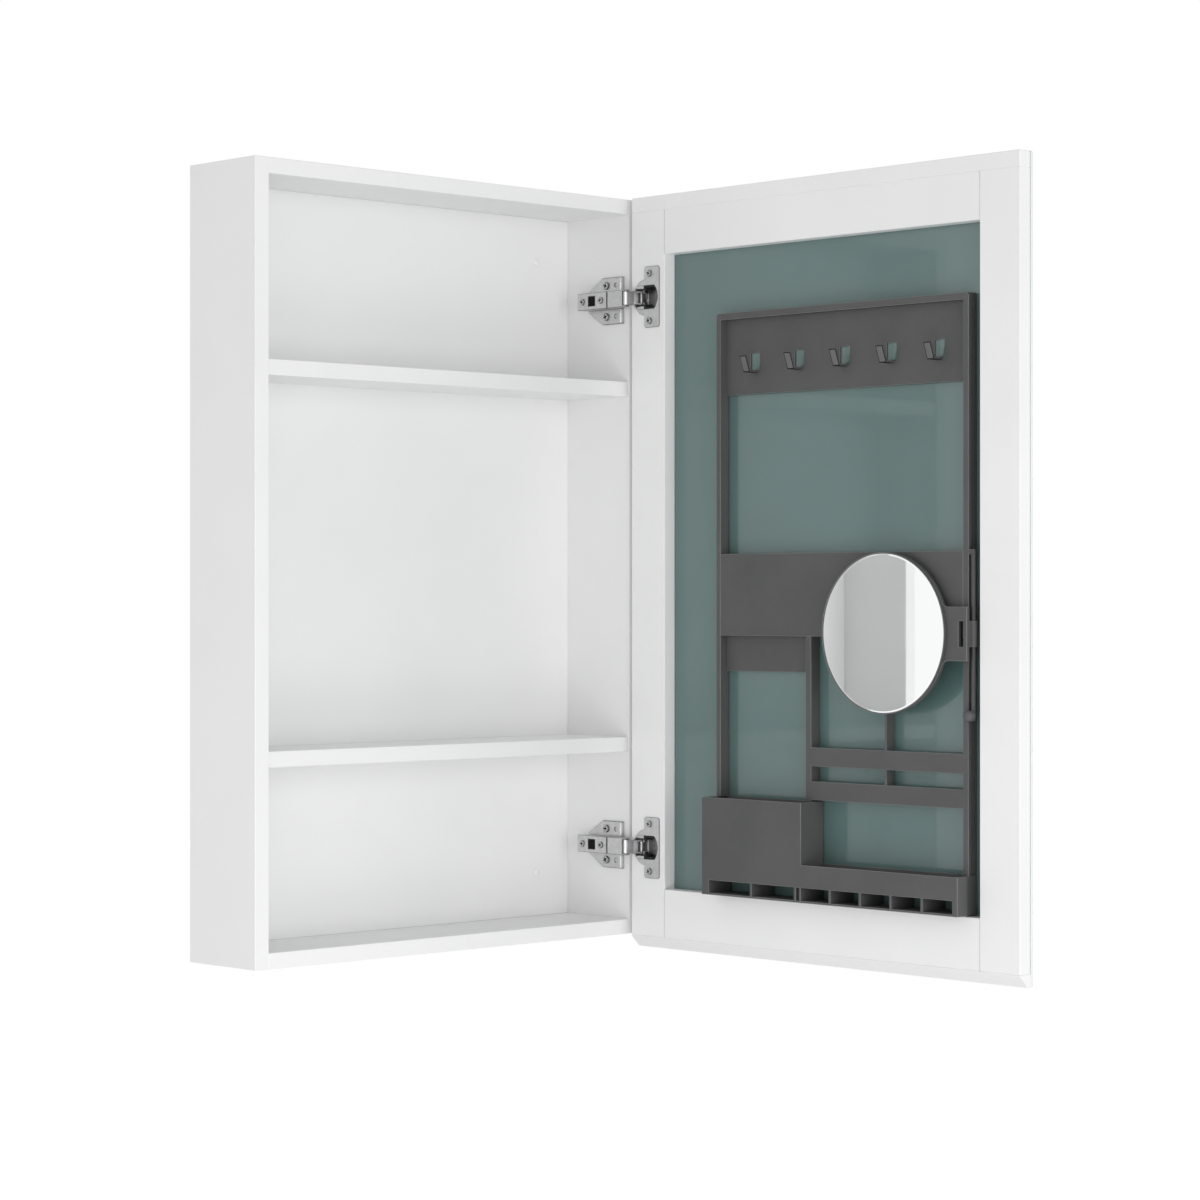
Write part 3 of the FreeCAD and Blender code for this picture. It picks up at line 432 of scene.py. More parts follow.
highlight_edge_plastic = painted_highlight_edge()
shaded_edge_steel = painted_shade_steel_edge()
lit_and_shaded_link = link_steel_painted_light()
cup_steel_painted_shade = cup_steel()
plastic_rounding, plate_rounding, pressed_rounding = 0.0004, 0.0005, 0.0004
link_rounding, glass_rounding = 0.0003, 0.0008
grey_pieces = ["organizer_frame", "hook_strip", "organizer_band", "lower_bin", "mirror_bracket"]
for name in grey_pieces + ["shaving_mirror_frame"]:
    softened(name, plastic_rounding, finishes["organizer_plastic"], highlight_edge_plastic)
for end in ("upper", "lower"):
    softened(end + "_mounting_plate", plate_rounding, finishes["hinge_steel"], shaded_edge_steel)
    softened(end + "_hinge_arm", pressed_rounding, finishes["hinge_steel"], shaded_edge_steel)
    softened(end + "_inner_link", link_rounding, lit_and_shaded_link, shaded_edge_steel)
    softened(end + "_hinge_cup", pressed_rounding, cup_steel_painted_shade, shaded_edge_steel)
glass_rim = ground_glass()
softened("mirror_pane", glass_rounding, glass_rim, glass_rim)
print("softened:", grey_pieces, "the mirror pane and the hinge pressings")

# %% [markdown]
# The small turned and bent pieces are worked out with numpy. One helper covers them all: a skin is an array of rings,
# each ring a closed row of points. Neighbouring rings are joined by four-sided faces and the two end rings are closed
# by caps, so a screw is a stack of circles and a bent strip is a stack of small rectangles.

# %% A helper that makes a piece from rings of points
def ring_faces(rows, columns, start):
    """Faces of one skin: a quad between each point, its neighbour and the next ring's two, and two caps."""
    index = start + np.arange(rows * columns).reshape(rows, columns)
    beside = np.roll(index, -1, axis=1)
    quads = np.stack([index[:-1], beside[:-1], beside[1:], index[1:]], axis=-1).reshape(-1, 4)
    return quads.tolist() + [index[0].tolist(), index[-1].tolist()]


def ringed_piece(name, skins, body, finish, stands_for=(), recess=None, sharp=38):
    """Joins skins, each of shape (rings, points, 3) in metres, into one closed piece that rides on a body. Edges that
    turn by more than `sharp` degrees stay sharp."""
    points = np.concatenate([skin.reshape(-1, 3) for skin in skins])
    starts = np.cumsum([0] + [skin.shape[0] * skin.shape[1] for skin in skins])
    faces = [face for skin, start in zip(skins, starts) for face in ring_faces(*skin.shape[:2], start)]
    mesh = bpy.data.meshes.new(name)
    mesh.from_pydata(points.tolist(), [], faces)
    if recess is not None:
        depth = mesh.attributes.new("recess", "FLOAT", "POINT")
        depth.data.foreach_set("value", np.concatenate([part.ravel() for part in recess]).astype(np.float32))
    skin = bmesh.new()
    skin.from_mesh(mesh)
    bmesh.ops.recalc_face_normals(skin, faces=skin.faces)
    skin.to_mesh(mesh)
    skin.free()
    mesh.polygons.foreach_set("use_smooth", np.ones(len(mesh.polygons), dtype=bool))
    mesh.set_sharp_from_angle(angle=math.radians(sharp))
    mesh.materials.append(finish)
    piece = bpy.data.objects.new(name, mesh)
    bpy.context.scene.collection.objects.link(piece)
    if stands_for:
        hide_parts(*stands_for)
    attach(piece, body)
    print(name, "points:", len(points), "faces:", len(faces))
    return piece


def turned(radii, depths, centre, points=64):
    """A shape turned round an axis along X: at each depth along the axis, a circle of the matching radius."""
    angle = np.linspace(0, 2 * np.pi, points, endpoint=False)
    radii = np.asarray(radii, dtype=float)[:, None]
    depths = np.asarray(depths, dtype=float)[:, None]
    x = np.broadcast_to(centre[0] + depths, (len(radii), points))
    y = centre[1] + radii * np.cos(angle)
    z = centre[2] + radii * np.sin(angle)
    return np.stack([x, y, z], axis=-1)


# %% [markdown]
# Twelve cross-head screws hold the hinges. A boolean cut would give a hard cross, but the real recess is punched and
# has soft shoulders, so the head is a height over polar rings: a low dome with a cross-shaped dip. How deep a point
# lies in the dip is kept in an attribute, and the finish reads it to paint shade: near black in the recess and in a
# ditch by the rim.

# %% Screws
def screw_finish():
    material, tree, shader, plated = drawn_steel("screw_steel", (0.50, 0.50, 0.505), (0.62, 0.62, 0.625))
    # Painted shade: the attribute blends the plated steel to near black in the cross and the ditch by the rim.
    depth = tree.nodes.new("ShaderNodeAttribute")
    depth.attribute_name = "recess"
    colour = blend_colours(tree, depth.outputs["Fac"], plated, (0.020, 0.020, 0.021))
    tree.links.new(colour, shader.inputs["Base Color"])
    return material


screw_points = 72
rim_start = 0.93
dip_shoulder, dip_depth = 0.0002, 0.45


def cross_screw(seat, head_radius, head_height, shank_radius, shank_length, turn):
    """Rings round an axis along X, from the middle of the head out to its rim and down the shank. The head's height
    is the head height times 0.7 plus 0.3 times the root of one minus the squared relative radius. The dip is 1 inside
    two crossed bars and falls to 0 over a fifth of a millimetre; the dip and a ditch by the rim carry painted shade."""
    angle = np.linspace(0, 2 * np.pi, screw_points, endpoint=False)
    radius = np.concatenate([np.linspace(0.00002, rim_start, 22), [1.0, 1.0, 1.0]]) * head_radius
    relative = np.clip(radius / head_radius, 0, rim_start)
    dome = head_height * (0.7 + 0.3 * np.sqrt(1 - relative ** 2))
    dome[-3:] = head_height * np.array([0.62, 0.3, 0.0])
    across = radius[:, None] * np.cos(angle + turn)
    up = radius[:, None] * np.sin(angle + turn)
    half_length, half_width = 0.62 * head_radius, 0.17 * head_radius
    bar = np.maximum(np.abs(across) - half_length, np.abs(up) - half_width)
    other = np.maximum(np.abs(up) - half_length, np.abs(across) - half_width)
    dip = np.clip(0.5 - np.minimum(bar, other) / dip_shoulder, 0, 1)
    # Painted shade for the ditch by the rim.
    rim = np.where(relative[:, None] > 0.9, 0.75, 0.0) * np.ones_like(dip)
    x = seat[0] - dome[:, None] + dip_depth * head_height * dip
    y = seat[1] + radius[:, None] * np.cos(angle)
    z = seat[2] + radius[:, None] * np.sin(angle)
    head = np.stack([x, y, z], axis=-1)
    shank_radii = shank_radius * np.array([1.0, 1.0, 0.4])
    shank = turned(shank_radii, shank_length * np.array([0, 0.85, 1.0]), seat, screw_points)
    shade = np.concatenate([np.maximum(dip, rim), np.zeros((len(shank_radii), screw_points))])
    return np.concatenate([head, shank]), shade


def screw_set(node, seats, head_radius, head_height, shank_radius, shank_length):
    turns = 0.35 + 0.9 * np.arange(len(seats))
    made = [
        cross_screw(seat, head_radius, head_height, shank_radius, shank_length, turn)
        for seat, turn in zip(seats, turns)
    ]
    skins, shades = zip(*made)
    return ringed_piece(
        "cross_head_" + node, skins, body_of[node], screw_steel, [node], recess=shades
    )


screw_steel = screw_finish()
hinge_heights = [sum(corner.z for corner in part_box(end + "_hinge_cup")) / 2 for end in ("upper", "lower")]
plate_low, plate_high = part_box("plate_screws")
plate_head, plate_head_height = (plate_high.y - plate_low.y) / 2, 0.0022
plate_shank_radius, plate_shank_length, plate_screw_offset = 0.0019, 0.012, 0.016
plate_seats = [
    (plate_low.x + plate_head_height, plate_low.y + plate_head, z + offset)
    for z in hinge_heights for offset in (-plate_screw_offset, plate_screw_offset)
]
screw_set("plate_screws", plate_seats, plate_head, plate_head_height, plate_shank_radius, plate_shank_length)
arm_low, arm_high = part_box("arm_screws")
arm_head, arm_head_height, arm_shank_radius, arm_shank_length = 0.0035, 0.0015, 0.002, 0.008
arm_seats = [
    (arm_low.x + arm_head_height, y, z)
    for z in hinge_heights for y in (arm_low.y + arm_head, arm_high.y - arm_head)
]
screw_set("arm_screws", arm_seats, arm_head, arm_head_height, arm_shank_radius, arm_shank_length)
cup_low, cup_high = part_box("cup_screws")
cup_head, cup_head_height = (cup_high.y - cup_low.y) / 2, 0.0018
cup_shank_radius, cup_shank_length, cup_screw_offset = 0.00175, 0.011, 0.024
cup_seats = [
    (cup_low.x + cup_head_height, cup_low.y + cup_head, z + offset)
    for z in hinge_heights for offset in (-cup_screw_offset, cup_screw_offset)
]
screw_set("cup_screws", cup_seats, cup_head, cup_head_height, cup_shank_radius, cup_shank_length)

# %% [markdown]
# The outer link of each hinge is a strip bent twice, from its pin behind the arm round the door's edge and into the
# cup. A profile carried along a path suits it: a small rectangle with rounded corners rides along the bent line.

# %% Outer links of the hinges
def rounded_rectangle(half_width, half_height, corner, steps=4):
    """Points round a rectangle whose corners are quarter circles."""
    quarter = np.linspace(0, np.pi / 2, steps)
    angle = (quarter[None, :] + np.arange(4)[:, None] * np.pi / 2).ravel()
    side_x = np.repeat([1, -1, -1, 1], steps) * (half_width - corner)
    side_y = np.repeat([1, 1, -1, -1], steps) * (half_height - corner)
    return np.stack([side_x + corner * np.cos(angle), side_y + corner * np.sin(angle)], axis=-1)


def bent_strip(corners, thickness, half_height, z, corner=0.0003, samples=61):
    """A strip that stands along Z and bends in plan. The corner points are joined by straight runs, the runs are
    sampled evenly and each sample becomes the mean of its five neighbours, which rounds the bends. At each sample the
    section lies across the line's direction."""
    corners = np.asarray(corners, dtype=float)
    lengths = np.concatenate([[0], np.cumsum(np.linalg.norm(np.diff(corners, axis=0), axis=1))])
    place = np.linspace(0, lengths[-1], samples)
    line = np.stack([np.interp(place, lengths, corners[:, axis]) for axis in (0, 1)], axis=-1)
    padded = np.pad(line, ((2, 2), (0, 0)), mode="edge")
    middle = sum(padded[shift:shift + samples] for shift in range(5)) / 5
    middle[[0, -1]] = line[[0, -1]]
    direction = np.gradient(middle, axis=0)
    direction /= np.linalg.norm(direction, axis=1, keepdims=True)
    across = np.stack([-direction[:, 1], direction[:, 0]], axis=-1)
    section = rounded_rectangle(thickness / 2, half_height, corner)
    plan = middle[:, None, :] + across[:, None, :] * section[None, :, :1]
    height = np.broadcast_to(z + section[None, :, 1:], (samples, len(section), 1))
    return np.concatenate([plan, height], axis=-1)


def upright_knuckle(x, y, radius, half_height, z, points=40):
    """A round knuckle that stands along Z, with its two rims eased by a tenth of its radius."""
    angle = np.linspace(0, 2 * np.pi, points, endpoint=False)
    radii = radius * np.array([0.9, 1.0, 1.0, 0.9])[:, None]
    heights = z + half_height * np.array([-1.0, -0.96, 0.96, 1.0])[:, None] + np.zeros(points)
    return np.stack([x + radii * np.cos(angle), y + radii * np.sin(angle), heights], axis=-1)


rear_pin = np.array([0.2240, -0.0995])
link_elbow = np.array([0.2234, -0.1140])
link_entry = np.array([0.2266, -0.1188])
outer_cup_pin = np.array([0.23211, -0.11781])
towards_pin = (outer_cup_pin - link_entry) / np.linalg.norm(outer_cup_pin - link_entry)
link_tip_gap, link_thickness, link_half_height = 0.00365, 0.0016, 0.0050
knuckle_radius, knuckle_half_height = 0.0021, 0.0045
link_tip = outer_cup_pin - towards_pin * link_tip_gap
for end, z in zip(("upper", "lower"), hinge_heights):
    skins = [
        bent_strip([rear_pin, link_elbow, link_entry, link_tip], link_thickness, link_half_height, z),
        upright_knuckle(*rear_pin, knuckle_radius, knuckle_half_height, z),
    ]
    node = end + "_outer_link"
    ringed_piece(end + "_bent_link", skins, body_of[node], lit_and_shaded_link, [node])

# %% [markdown]
# A thin bent plate lies on the room side of each inner link, from its knuckle on the arm to just past its elbow, and
# hides the fork behind it. It stops where the outer link comes close as the door shuts. It is the same bent strip,
# only thinner and taller, and it is set off to the side of the link's line.

# %% Cover plates of the inner links
tip_pin = np.array([0.2195, -0.1080])
inner_elbow = np.array([0.2230, -0.1170])
inner_cup_pin = np.array([0.23181, -0.12224])
room_side = np.array([-0.00077, -0.00024])
cover_line = [
    tip_pin + [0.0006, -0.0016] + room_side,
    inner_elbow + room_side + [-0.00006, -0.00012],
    inner_elbow + 0.24 * (inner_cup_pin - inner_elbow) + [-0.00042, -0.00070],
]
cover_thickness, cover_half_height, cover_corner = 0.0005, 0.0067, 0.0002
covers = [bent_strip(cover_line, cover_thickness, cover_half_height, z, cover_corner) for z in hinge_heights]
ringed_piece("link_covers", covers, "inner_links", lit_and_shaded_link)

# %% [markdown]
# Smaller things make a hinge look like a hinge, and most of them are short bars with eased ends, laid along one axis.
# One helper makes them. The first are the lips: the mounting plate's front edge is turned up into a lip above
# and below the arm, in a pale steel that paints a highlight on it.

# %% A helper for small bars, and the plate lips
def bar_along(axis, start, end, section, ease):
    """A bar along axis 1 (Y) or 2 (Z) with a fixed outline, given as points in the other two axes, in XYZ order. Near
    both ends the outline shrinks towards its middle along a quarter circle of radius `ease`."""
    turn = np.linspace(0, np.pi / 2, 4)
    place = np.concatenate([start + ease * (1 - np.cos(turn)), end - ease * (1 - np.cos(turn[::-1]))])
    inset = np.concatenate([ease * (1 - np.sin(turn)), ease * (1 - np.sin(turn[::-1]))])
    section = np.asarray(section, dtype=float)
    middle = section.mean(axis=0)
    offset = section - middle
    reach = np.abs(offset).max(axis=0)
    shrink = 1 - inset[:, None, None] / reach[None, None, :]
    flat = middle + offset[None] * shrink
    run = np.broadcast_to(place[:, None, None], (len(place), len(section), 1))
    return np.insert(flat, [axis], run, axis=2)


plate_seat_x, plate_front_y = plate_low.x + plate_head_height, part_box("upper_mounting_plate")[0].y
lip_half_thickness, lip_near, lip_far, lip_ease = 0.0006, 0.0094, 0.0228, 0.0004
lip_section = rounded_rectangle(0.0015, lip_half_thickness, 0.0003)
lip_section += [plate_seat_x - 0.0014, plate_front_y + lip_half_thickness]
lips = [
    bar_along(2, z + low, z + high, lip_section, lip_ease)
    for z in hinge_heights for low, high in ((-lip_far, -lip_near), (lip_near, lip_far))
]
highlight_steel = painted_highlight_lip()
ringed_piece("plate_lips", lips, "cabinet", highlight_steel)


# %% [markdown]
# The arm's window shows a toothed rack that sets how far the door stands off, and a seam parts the arm's front
# cover. Both are near black: painted shade in the window and in the groove. The teeth could be modelled one by one,
# but a wave along the block's face gives them all at once.

# %% Racks and seams of the arms
tooth_depth = 0.0006


def toothed_rack(x_face, x_floor, y_start, y_end, z, half_height, teeth):
    """A block along Y whose face rises and falls: its depth is a wave with one crest to each tooth."""
    y = np.linspace(y_start, y_end, 8 * teeth + 1)
    wave = 0.5 - 0.5 * np.cos(2 * np.pi * teeth * (y - y_start) / (y_end - y_start))
    face = x_face + tooth_depth * (1 - wave)
    floor = np.full_like(y, x_floor)
    ring_x = np.stack([face, face, floor, floor], axis=-1)
    ring_z = np.broadcast_to(z + half_height * np.array([-1, 1, 1, -1]), ring_x.shape)
    ring_y = np.broadcast_to(y[:, None], ring_x.shape)
    return np.stack([ring_x, ring_y, ring_z], axis=-1)


arm_face = arm_low.x + arm_head_height
rack_top, rack_floor = arm_face + 0.0004, arm_face + 0.00145
rack_start_y, rack_end_y, rack_half_height, rack_teeth = -0.0654, -0.0556, 0.0049, 5
racks = [
    toothed_rack(rack_top, rack_floor, rack_start_y, rack_end_y, z, rack_half_height, rack_teeth)
    for z in hinge_heights
]
shade_black = painted_shade_plastic()
ringed_piece("adjuster_racks", racks, "cabinet", shade_black)
seam_y, seam_half_height, seam_ease = -0.0832, 0.0085, 0.0001
seam_section = rounded_rectangle(0.00025, 0.00075, seam_ease) + [arm_face + 0.00022, seam_y]
seams = [bar_along(2, z - seam_half_height, z + seam_half_height, seam_section, seam_ease) for z in hinge_heights]
ringed_piece("cover_seams", seams, "cabinet", shade_black)

# %% [markdown]
# Two thin lids close the cup's mouth beside the links, a dark collar lines the rest of it, and a spring strip in a
# pale steel lies on its floor as a painted highlight. The strip lies flat on the floor, because the outer link passes
# close above it as the door shuts.

# %% Lids, collars and spring strips of the cups
door_edge_y, door_back_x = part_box("hinge_stile")[1].y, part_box("hinge_stile")[0].x
lid_far_y, lid_near_y = door_edge_y - 0.0179, door_edge_y - 0.0083
lid_offset, lid_ease = 0.0104, 0.0002
lid_section = rounded_rectangle(0.00042, 0.0015, lid_ease) + [door_back_x - 0.00056, 0.0]
lids = [
    bar_along(1, lid_far_y, lid_near_y, lid_section, lid_ease) + [0, 0, z + side * lid_offset]
    for z in hinge_heights for side in (-1, 1)
]
ringed_piece("cup_lids", lids, "door", finishes["hinge_steel"])
collar_half_depth, collar_ease, collar_x = 0.0012, 0.0004, door_back_x + 0.0014
rim_far_y, rim_near_y, rim_offset = door_edge_y - 0.0340, door_edge_y - 0.0181, 0.0109
rim_section = rounded_rectangle(collar_half_depth, 0.0010, collar_ease) + [collar_x, 0.0]
rims = [
    bar_along(1, rim_far_y, rim_near_y, rim_section, collar_ease) + [0, 0, z + side * rim_offset]
    for z in hinge_heights for side in (-1, 1)
]
end_y, end_half_height = door_edge_y - 0.0368, 0.0085
end_section = rounded_rectangle(collar_half_depth, 0.0008, collar_ease) + [collar_x, end_y]
ends = [bar_along(2, z - end_half_height, z + end_half_height, end_section, collar_ease) for z in hinge_heights]
ringed_piece("cup_collars", rims + ends, "door", finishes["insert_plastic"])
spring_x, spring_y = door_back_x + 0.01045, door_edge_y - 0.0115
spring_half_height, spring_ease = 0.0072, 0.0001
spring_section = rounded_rectangle(0.00018, 0.0019, spring_ease) + [spring_x, spring_y]
springs = [
    bar_along(2, z - spring_half_height, z + spring_half_height, spring_section, spring_ease) for z in hinge_heights
]
ringed_piece("cup_springs", springs, "door", highlight_steel)

# %% [markdown]
# The shaving mirror's glass has a ground bevel at its rim that catches a bright line, and the rod's knob is a small
# turned dome. Both are profiles turned round an axis.

# %% Shaving glass and knob
glass_low, glass_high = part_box("shaving_mirror_glass")
glass_radius = (glass_high.z - glass_low.z) / 2
glass_centre = (glass_low.x, (glass_low.y + glass_high.y) / 2, (glass_low.z + glass_high.z) / 2)
glass_thickness = glass_high.x - glass_low.x
bevel_insets = np.array([0.0016, 0.0002, 0.0, 0.0, 0.0004])
bevel_depths = [0.0, 0.0006, 0.0009, glass_thickness - 0.0003, glass_thickness]
glass_points = 160
glass_skin = turned(glass_radius - bevel_insets, bevel_depths, glass_centre, glass_points)
shaving_finish = finishes["shaving_glass"]
shaving_glass = ringed_piece(
    "bevelled_shaving_glass", [glass_skin], "shaving_mirror", shaving_finish,
    ["shaving_mirror_glass"], sharp=10,
)
knob_low, knob_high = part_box("rod_knob")
knob_radius = (knob_high.z - knob_low.z) / 2
knob_length = knob_high.x - knob_low.x
knob_centre = (knob_low.x, (knob_low.y + knob_high.y) / 2, (knob_low.z + knob_high.z) / 2)
knob_dome, knob_front, knob_foot = 0.0032, -0.0028, 0.0004
sweep = np.linspace(0.02, np.pi / 2, 14)
knob_radii = np.concatenate([knob_radius * np.sin(sweep), [knob_radius, knob_radius * 0.92]])
dome_depths = knob_dome * (1 - np.cos(sweep)) + knob_front
knob_depths = np.concatenate([dome_depths, [knob_length - knob_foot, knob_length]])
knob_skin = turned(knob_radii, knob_depths, knob_centre)
ringed_piece("domed_knob", [knob_skin], "door", finishes["organizer_plastic"], ["rod_knob"])

# %% [markdown]
# The door's pane was only given its ground rim so far. Its silver shows on the whole front, up to a narrow polished
# border, so a thin silvered plate lies on the glass. It is a bar as wide as the door.

# %% Silvered face of the door's mirror
glass_rim_low, glass_rim_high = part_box("mirror_pane")
silver_border, silver_half_thickness, silver_ease = 0.0011, 0.00015, 0.00004
face_middle = np.array([glass_rim_high.x - 0.0001, (glass_rim_low.y + glass_rim_high.y) / 2])
face_half_width = (glass_rim_high.y - glass_rim_low.y) / 2 - silver_border
face_section = rounded_rectangle(silver_half_thickness, face_half_width, silver_ease) + face_middle
face_low_z, face_high_z = glass_rim_low.z + silver_border, glass_rim_high.z - silver_border
face = bar_along(2, face_low_z, face_high_z, face_section, silver_ease)
silvered_face = ringed_piece("silvered_face", [face], "door", finishes["mirror_glass"])

# %% [markdown]
# Each hook is a leaning prong on a foot in front of a window in the tray, and the painted glass fills the window up
# to its edges. A thin near-black plate gives the prong a dark outline of painted shade, a smaller paler one on it is
# a painted highlight on its lit face, another near-black plate paints the shadow under the foot, and a low painted pad
# fills the window.

# %% Hooks
def slab_between(start, end, y, half_width, thickness):
    """A thin plate from one point to another in the XZ plane: at each end lies a rounded rectangle with its long side
    along Y and its short side across the line."""
    start, end = np.asarray(start), np.asarray(end)
    direction = (end - start) / np.linalg.norm(end - start)
    across = np.array([-direction[1], direction[0]])
    section = rounded_rectangle(half_width, thickness / 2, thickness * 0.45)
    line = np.stack([start, end])
    plane = line[:, None, :] + across * section[None, :, 1:]
    width = np.broadcast_to(y + section[:, 0], plane.shape[:2])
    return np.stack([plane[..., 0], width, plane[..., 1]], axis=-1)


hook_low, hook_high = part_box("hook_strip")
hook_spacing, middle_hook_shift, strip_thickness = 0.0590, -0.0020, 0.0025
hook_rows = (hook_low.y + hook_high.y) / 2 + middle_hook_shift + hook_spacing * np.arange(-2, 3)
strip_face = hook_high.x - strip_thickness
foot_reach, foot_height, tip_height = 0.0122, 0.0213, 0.0367
prong_foot = np.array([strip_face - foot_reach, hook_low.z + foot_height])
prong_tip = np.array([hook_low.x, hook_low.z + tip_height])
lean = (prong_tip - prong_foot) / np.linalg.norm(prong_tip - prong_foot)
outward = np.array([-lean[1], lean[0]])
plate_thickness, foot_thickness = 0.0003, 0.00025
outline_half_width, foot_half_width, prong_half_width = 0.0043, 0.0041, 0.0035
outline_lift, prong_lift = 0.0001 * outward, 0.0003 * outward
outline_start, outline_end = prong_foot - 0.0003 * lean + outline_lift, prong_tip + 0.0002 * lean + outline_lift
foot_start, foot_end = prong_foot + [0.0002, -0.0001], [strip_face - 0.0001, prong_foot[1] - 0.0001]
prong_start, prong_end = prong_foot + 0.0008 * lean + prong_lift, prong_tip - 0.0006 * lean + prong_lift
pad_x, pad_low_z, pad_high_z, pad_ease = strip_face + 0.0028, prong_foot[1] + 0.0021, prong_foot[1] + 0.0190, 0.0002
outlines, prongs, pads = [], [], []
for y in hook_rows:
    outlines.append(slab_between(outline_start, outline_end, y, outline_half_width, plate_thickness))
    outlines.append(slab_between(foot_start, foot_end, y, foot_half_width, foot_thickness))
    prongs.append(slab_between(prong_start, prong_end, y, prong_half_width, plate_thickness))
    pad_section = rounded_rectangle(0.0016, 0.0060, pad_ease) + [pad_x, y]
    pads.append(bar_along(2, pad_low_z, pad_high_z, pad_section, pad_ease))
ringed_piece("hook_shade_outlines", outlines, "door", shade_black)
# Painted highlight: a paler copy of the tray's grey for the prong's lit face.
lit_face_plastic = organizer_plastic("hook_plastic_painted_highlight", 0.118, 0.130)
ringed_piece("hook_faces", prongs, "door", lit_face_plastic)
ringed_piece("hook_window_pads", pads, "door", finishes["mirror_back_paint"])

# %% [markdown]
# The mirror's rod is a shade darker than the tray: a darker copy of the tray's grey, painted shade where the lamps
# light the round rod more. The door's frame shows a fine grey line where each rail meets a stile: paint never quite
# fills such a joint. Thin bars, a few hundredths proud of the paint, draw the lines.

# %% Rod finish and joint lines
# Painted shade: the rod's grey is darker than the tray's.
nodes["mirror_rod"].data.materials[0] = organizer_plastic("rod_plastic_painted_shade", 0.058, 0.068)


def joint_line():
    material, tree, shader = new_finish("grey_joint_line")
    dust = between(tree, grain(tree, 0.004), 0.0, 1.0)
    colour = blend_colours(tree, dust, (0.56, 0.56, 0.56), (0.64, 0.64, 0.64))
    tree.links.new(colour, shader.inputs["Base Color"])
    shader.inputs["Roughness"].default_value = 0.6
    return material


seam_places = [
    (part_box(rail)[0].z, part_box(rail)[1].z, y) for rail in ("top_rail", "bottom_rail")
    for y in (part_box("top_rail")[0].y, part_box("top_rail")[1].y)
]
joint_ease, joint_x = 0.00005, door_back_x + 0.00006
joint_section = rounded_rectangle(0.0001, 0.00035, joint_ease)
joint_bars = [
    bar_along(2, low_z, high_z, joint_section + [joint_x, y], joint_ease) for low_z, high_z, y in seam_places
]
ringed_piece("frame_joints", joint_bars, "door", joint_line())

# %% [markdown]
# The organizer is stuck on with foam tape. A dark strip of it runs behind the right wall and stands out a little past
# it, as a black line of painted shadow between the wall and the glossy paint. It is one more small bar.

# %% Tape behind the organizer's right wall
tape_low_z, tape_high_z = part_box("lower_bin")[0].z + 0.001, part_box("organizer_frame")[1].z - 0.001
tape_x, tape_y, tape_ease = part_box("mirror_backing")[0].x - 0.0005, door_edge_y - 0.4390, 0.0002
strip_section = rounded_rectangle(0.00048, 0.0016, tape_ease) + [tape_x, tape_y]
# Painted shadow: the dark tape strip stands out past the wall as a black line.
strip = bar_along(2, tape_low_z, tape_high_z, strip_section, tape_ease)
ringed_piece("wall_tape_painted_shadow", [strip], "door", finishes["tape"])

# %% [markdown]
# White caps cover the four wall holes inside the cabinet. Each is a low button, a dome turned round the hole's axis,
# with a short stem in the hole.

# %% Caps over the wall holes
holes = next(mount for mount in record["mounts"] if mount["name"] == "wall_holes")["dims"]
back_face_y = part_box("back_panel")[0].y
cap_radius, cap_rise, cap_rim, stem_radius, stem_length = 0.0040, 0.0015, 0.0003, 0.0029, 0.004


def wall_cap(x, z):
    """A dome turned round Y: its radius is the cap's times the sine of an angle, its height the cap's times the
    cosine."""
    rise = np.linspace(0.03, np.pi / 2, 10)
    radii = np.concatenate([cap_radius * np.sin(rise), [cap_radius, stem_radius, stem_radius]])
    heights = np.concatenate([cap_rise * np.cos(rise) + cap_rim, [0.0, 0.0, -stem_length]])
    lying = turned(radii, heights, (0, 0, 0), 48)
    return np.stack([x + lying[..., 2], back_face_y - lying[..., 0], z + lying[..., 1]], axis=-1)


cap_x, cap_z = holes["spacing_x_mm"] / 2000, holes["spacing_y_mm"] / 2000
caps = [wall_cap(side * cap_x, end * cap_z) for side in (-1, 1) for end in (-1, 1)]
ringed_piece("wall_hole_caps", caps, "cabinet", finishes["white_paint"])

# %% [markdown]
# The photograph was taken level, almost at the corner between the cabinet's side and its open front, with a long
# lens. The camera's place was worked out from the straight edges of the cabinet.

# %% Camera
camera_place = Vector((-2.0792, -2.4615, -0.03405))
camera_direction = Vector((0.69306, 0.72088, 0.0))
camera_data = bpy.data.cameras.new("photo_camera")
camera_data.lens = 96.97
camera_data.sensor_width = 36.0
camera = bpy.data.objects.new("photo_camera", camera_data)
camera.location = camera_place
camera.rotation_euler = camera_direction.to_track_quat("-Z", "Y").to_euler()
bpy.context.scene.collection.objects.link(camera)
bpy.context.scene.camera = camera
print("camera at", tuple(camera_place))

# %% [markdown]
# The room is a white studio. The world is white for the rays that come straight from the camera, or by way of metal
# and glass, and a plain grey level for the light that falls on the object. A pale floor lies well below the cabinet,
# which hangs on its wall. The same trick keeps the floor almost white in the picture, but a share of it stays lit by
# the lamps alone, so the cabinet's soft shadow still shows there.

# %% Floor and world
ambient_level = 0.56
floor_drop, floor_reach = 0.9, 6.0
floor_glow, glow_share = 1.2, 0.75


def seen_directly(tree):
    """1 for camera, glossy and transmission rays, 0 for the rays that light the object."""
    path = tree.nodes.new("ShaderNodeLightPath")
    total = tree.nodes.new("ShaderNodeMath")
    total.operation = "MAXIMUM"
    tree.links.new(path.outputs["Is Camera Ray"], total.inputs[0])
    tree.links.new(path.outputs["Is Glossy Ray"], total.inputs[1])
    whole = tree.nodes.new("ShaderNodeMath")
    whole.operation = "MAXIMUM"
    tree.links.new(total.outputs["Value"], whole.inputs[0])
    tree.links.new(path.outputs["Is Transmission Ray"], whole.inputs[1])
    return whole.outputs["Value"]


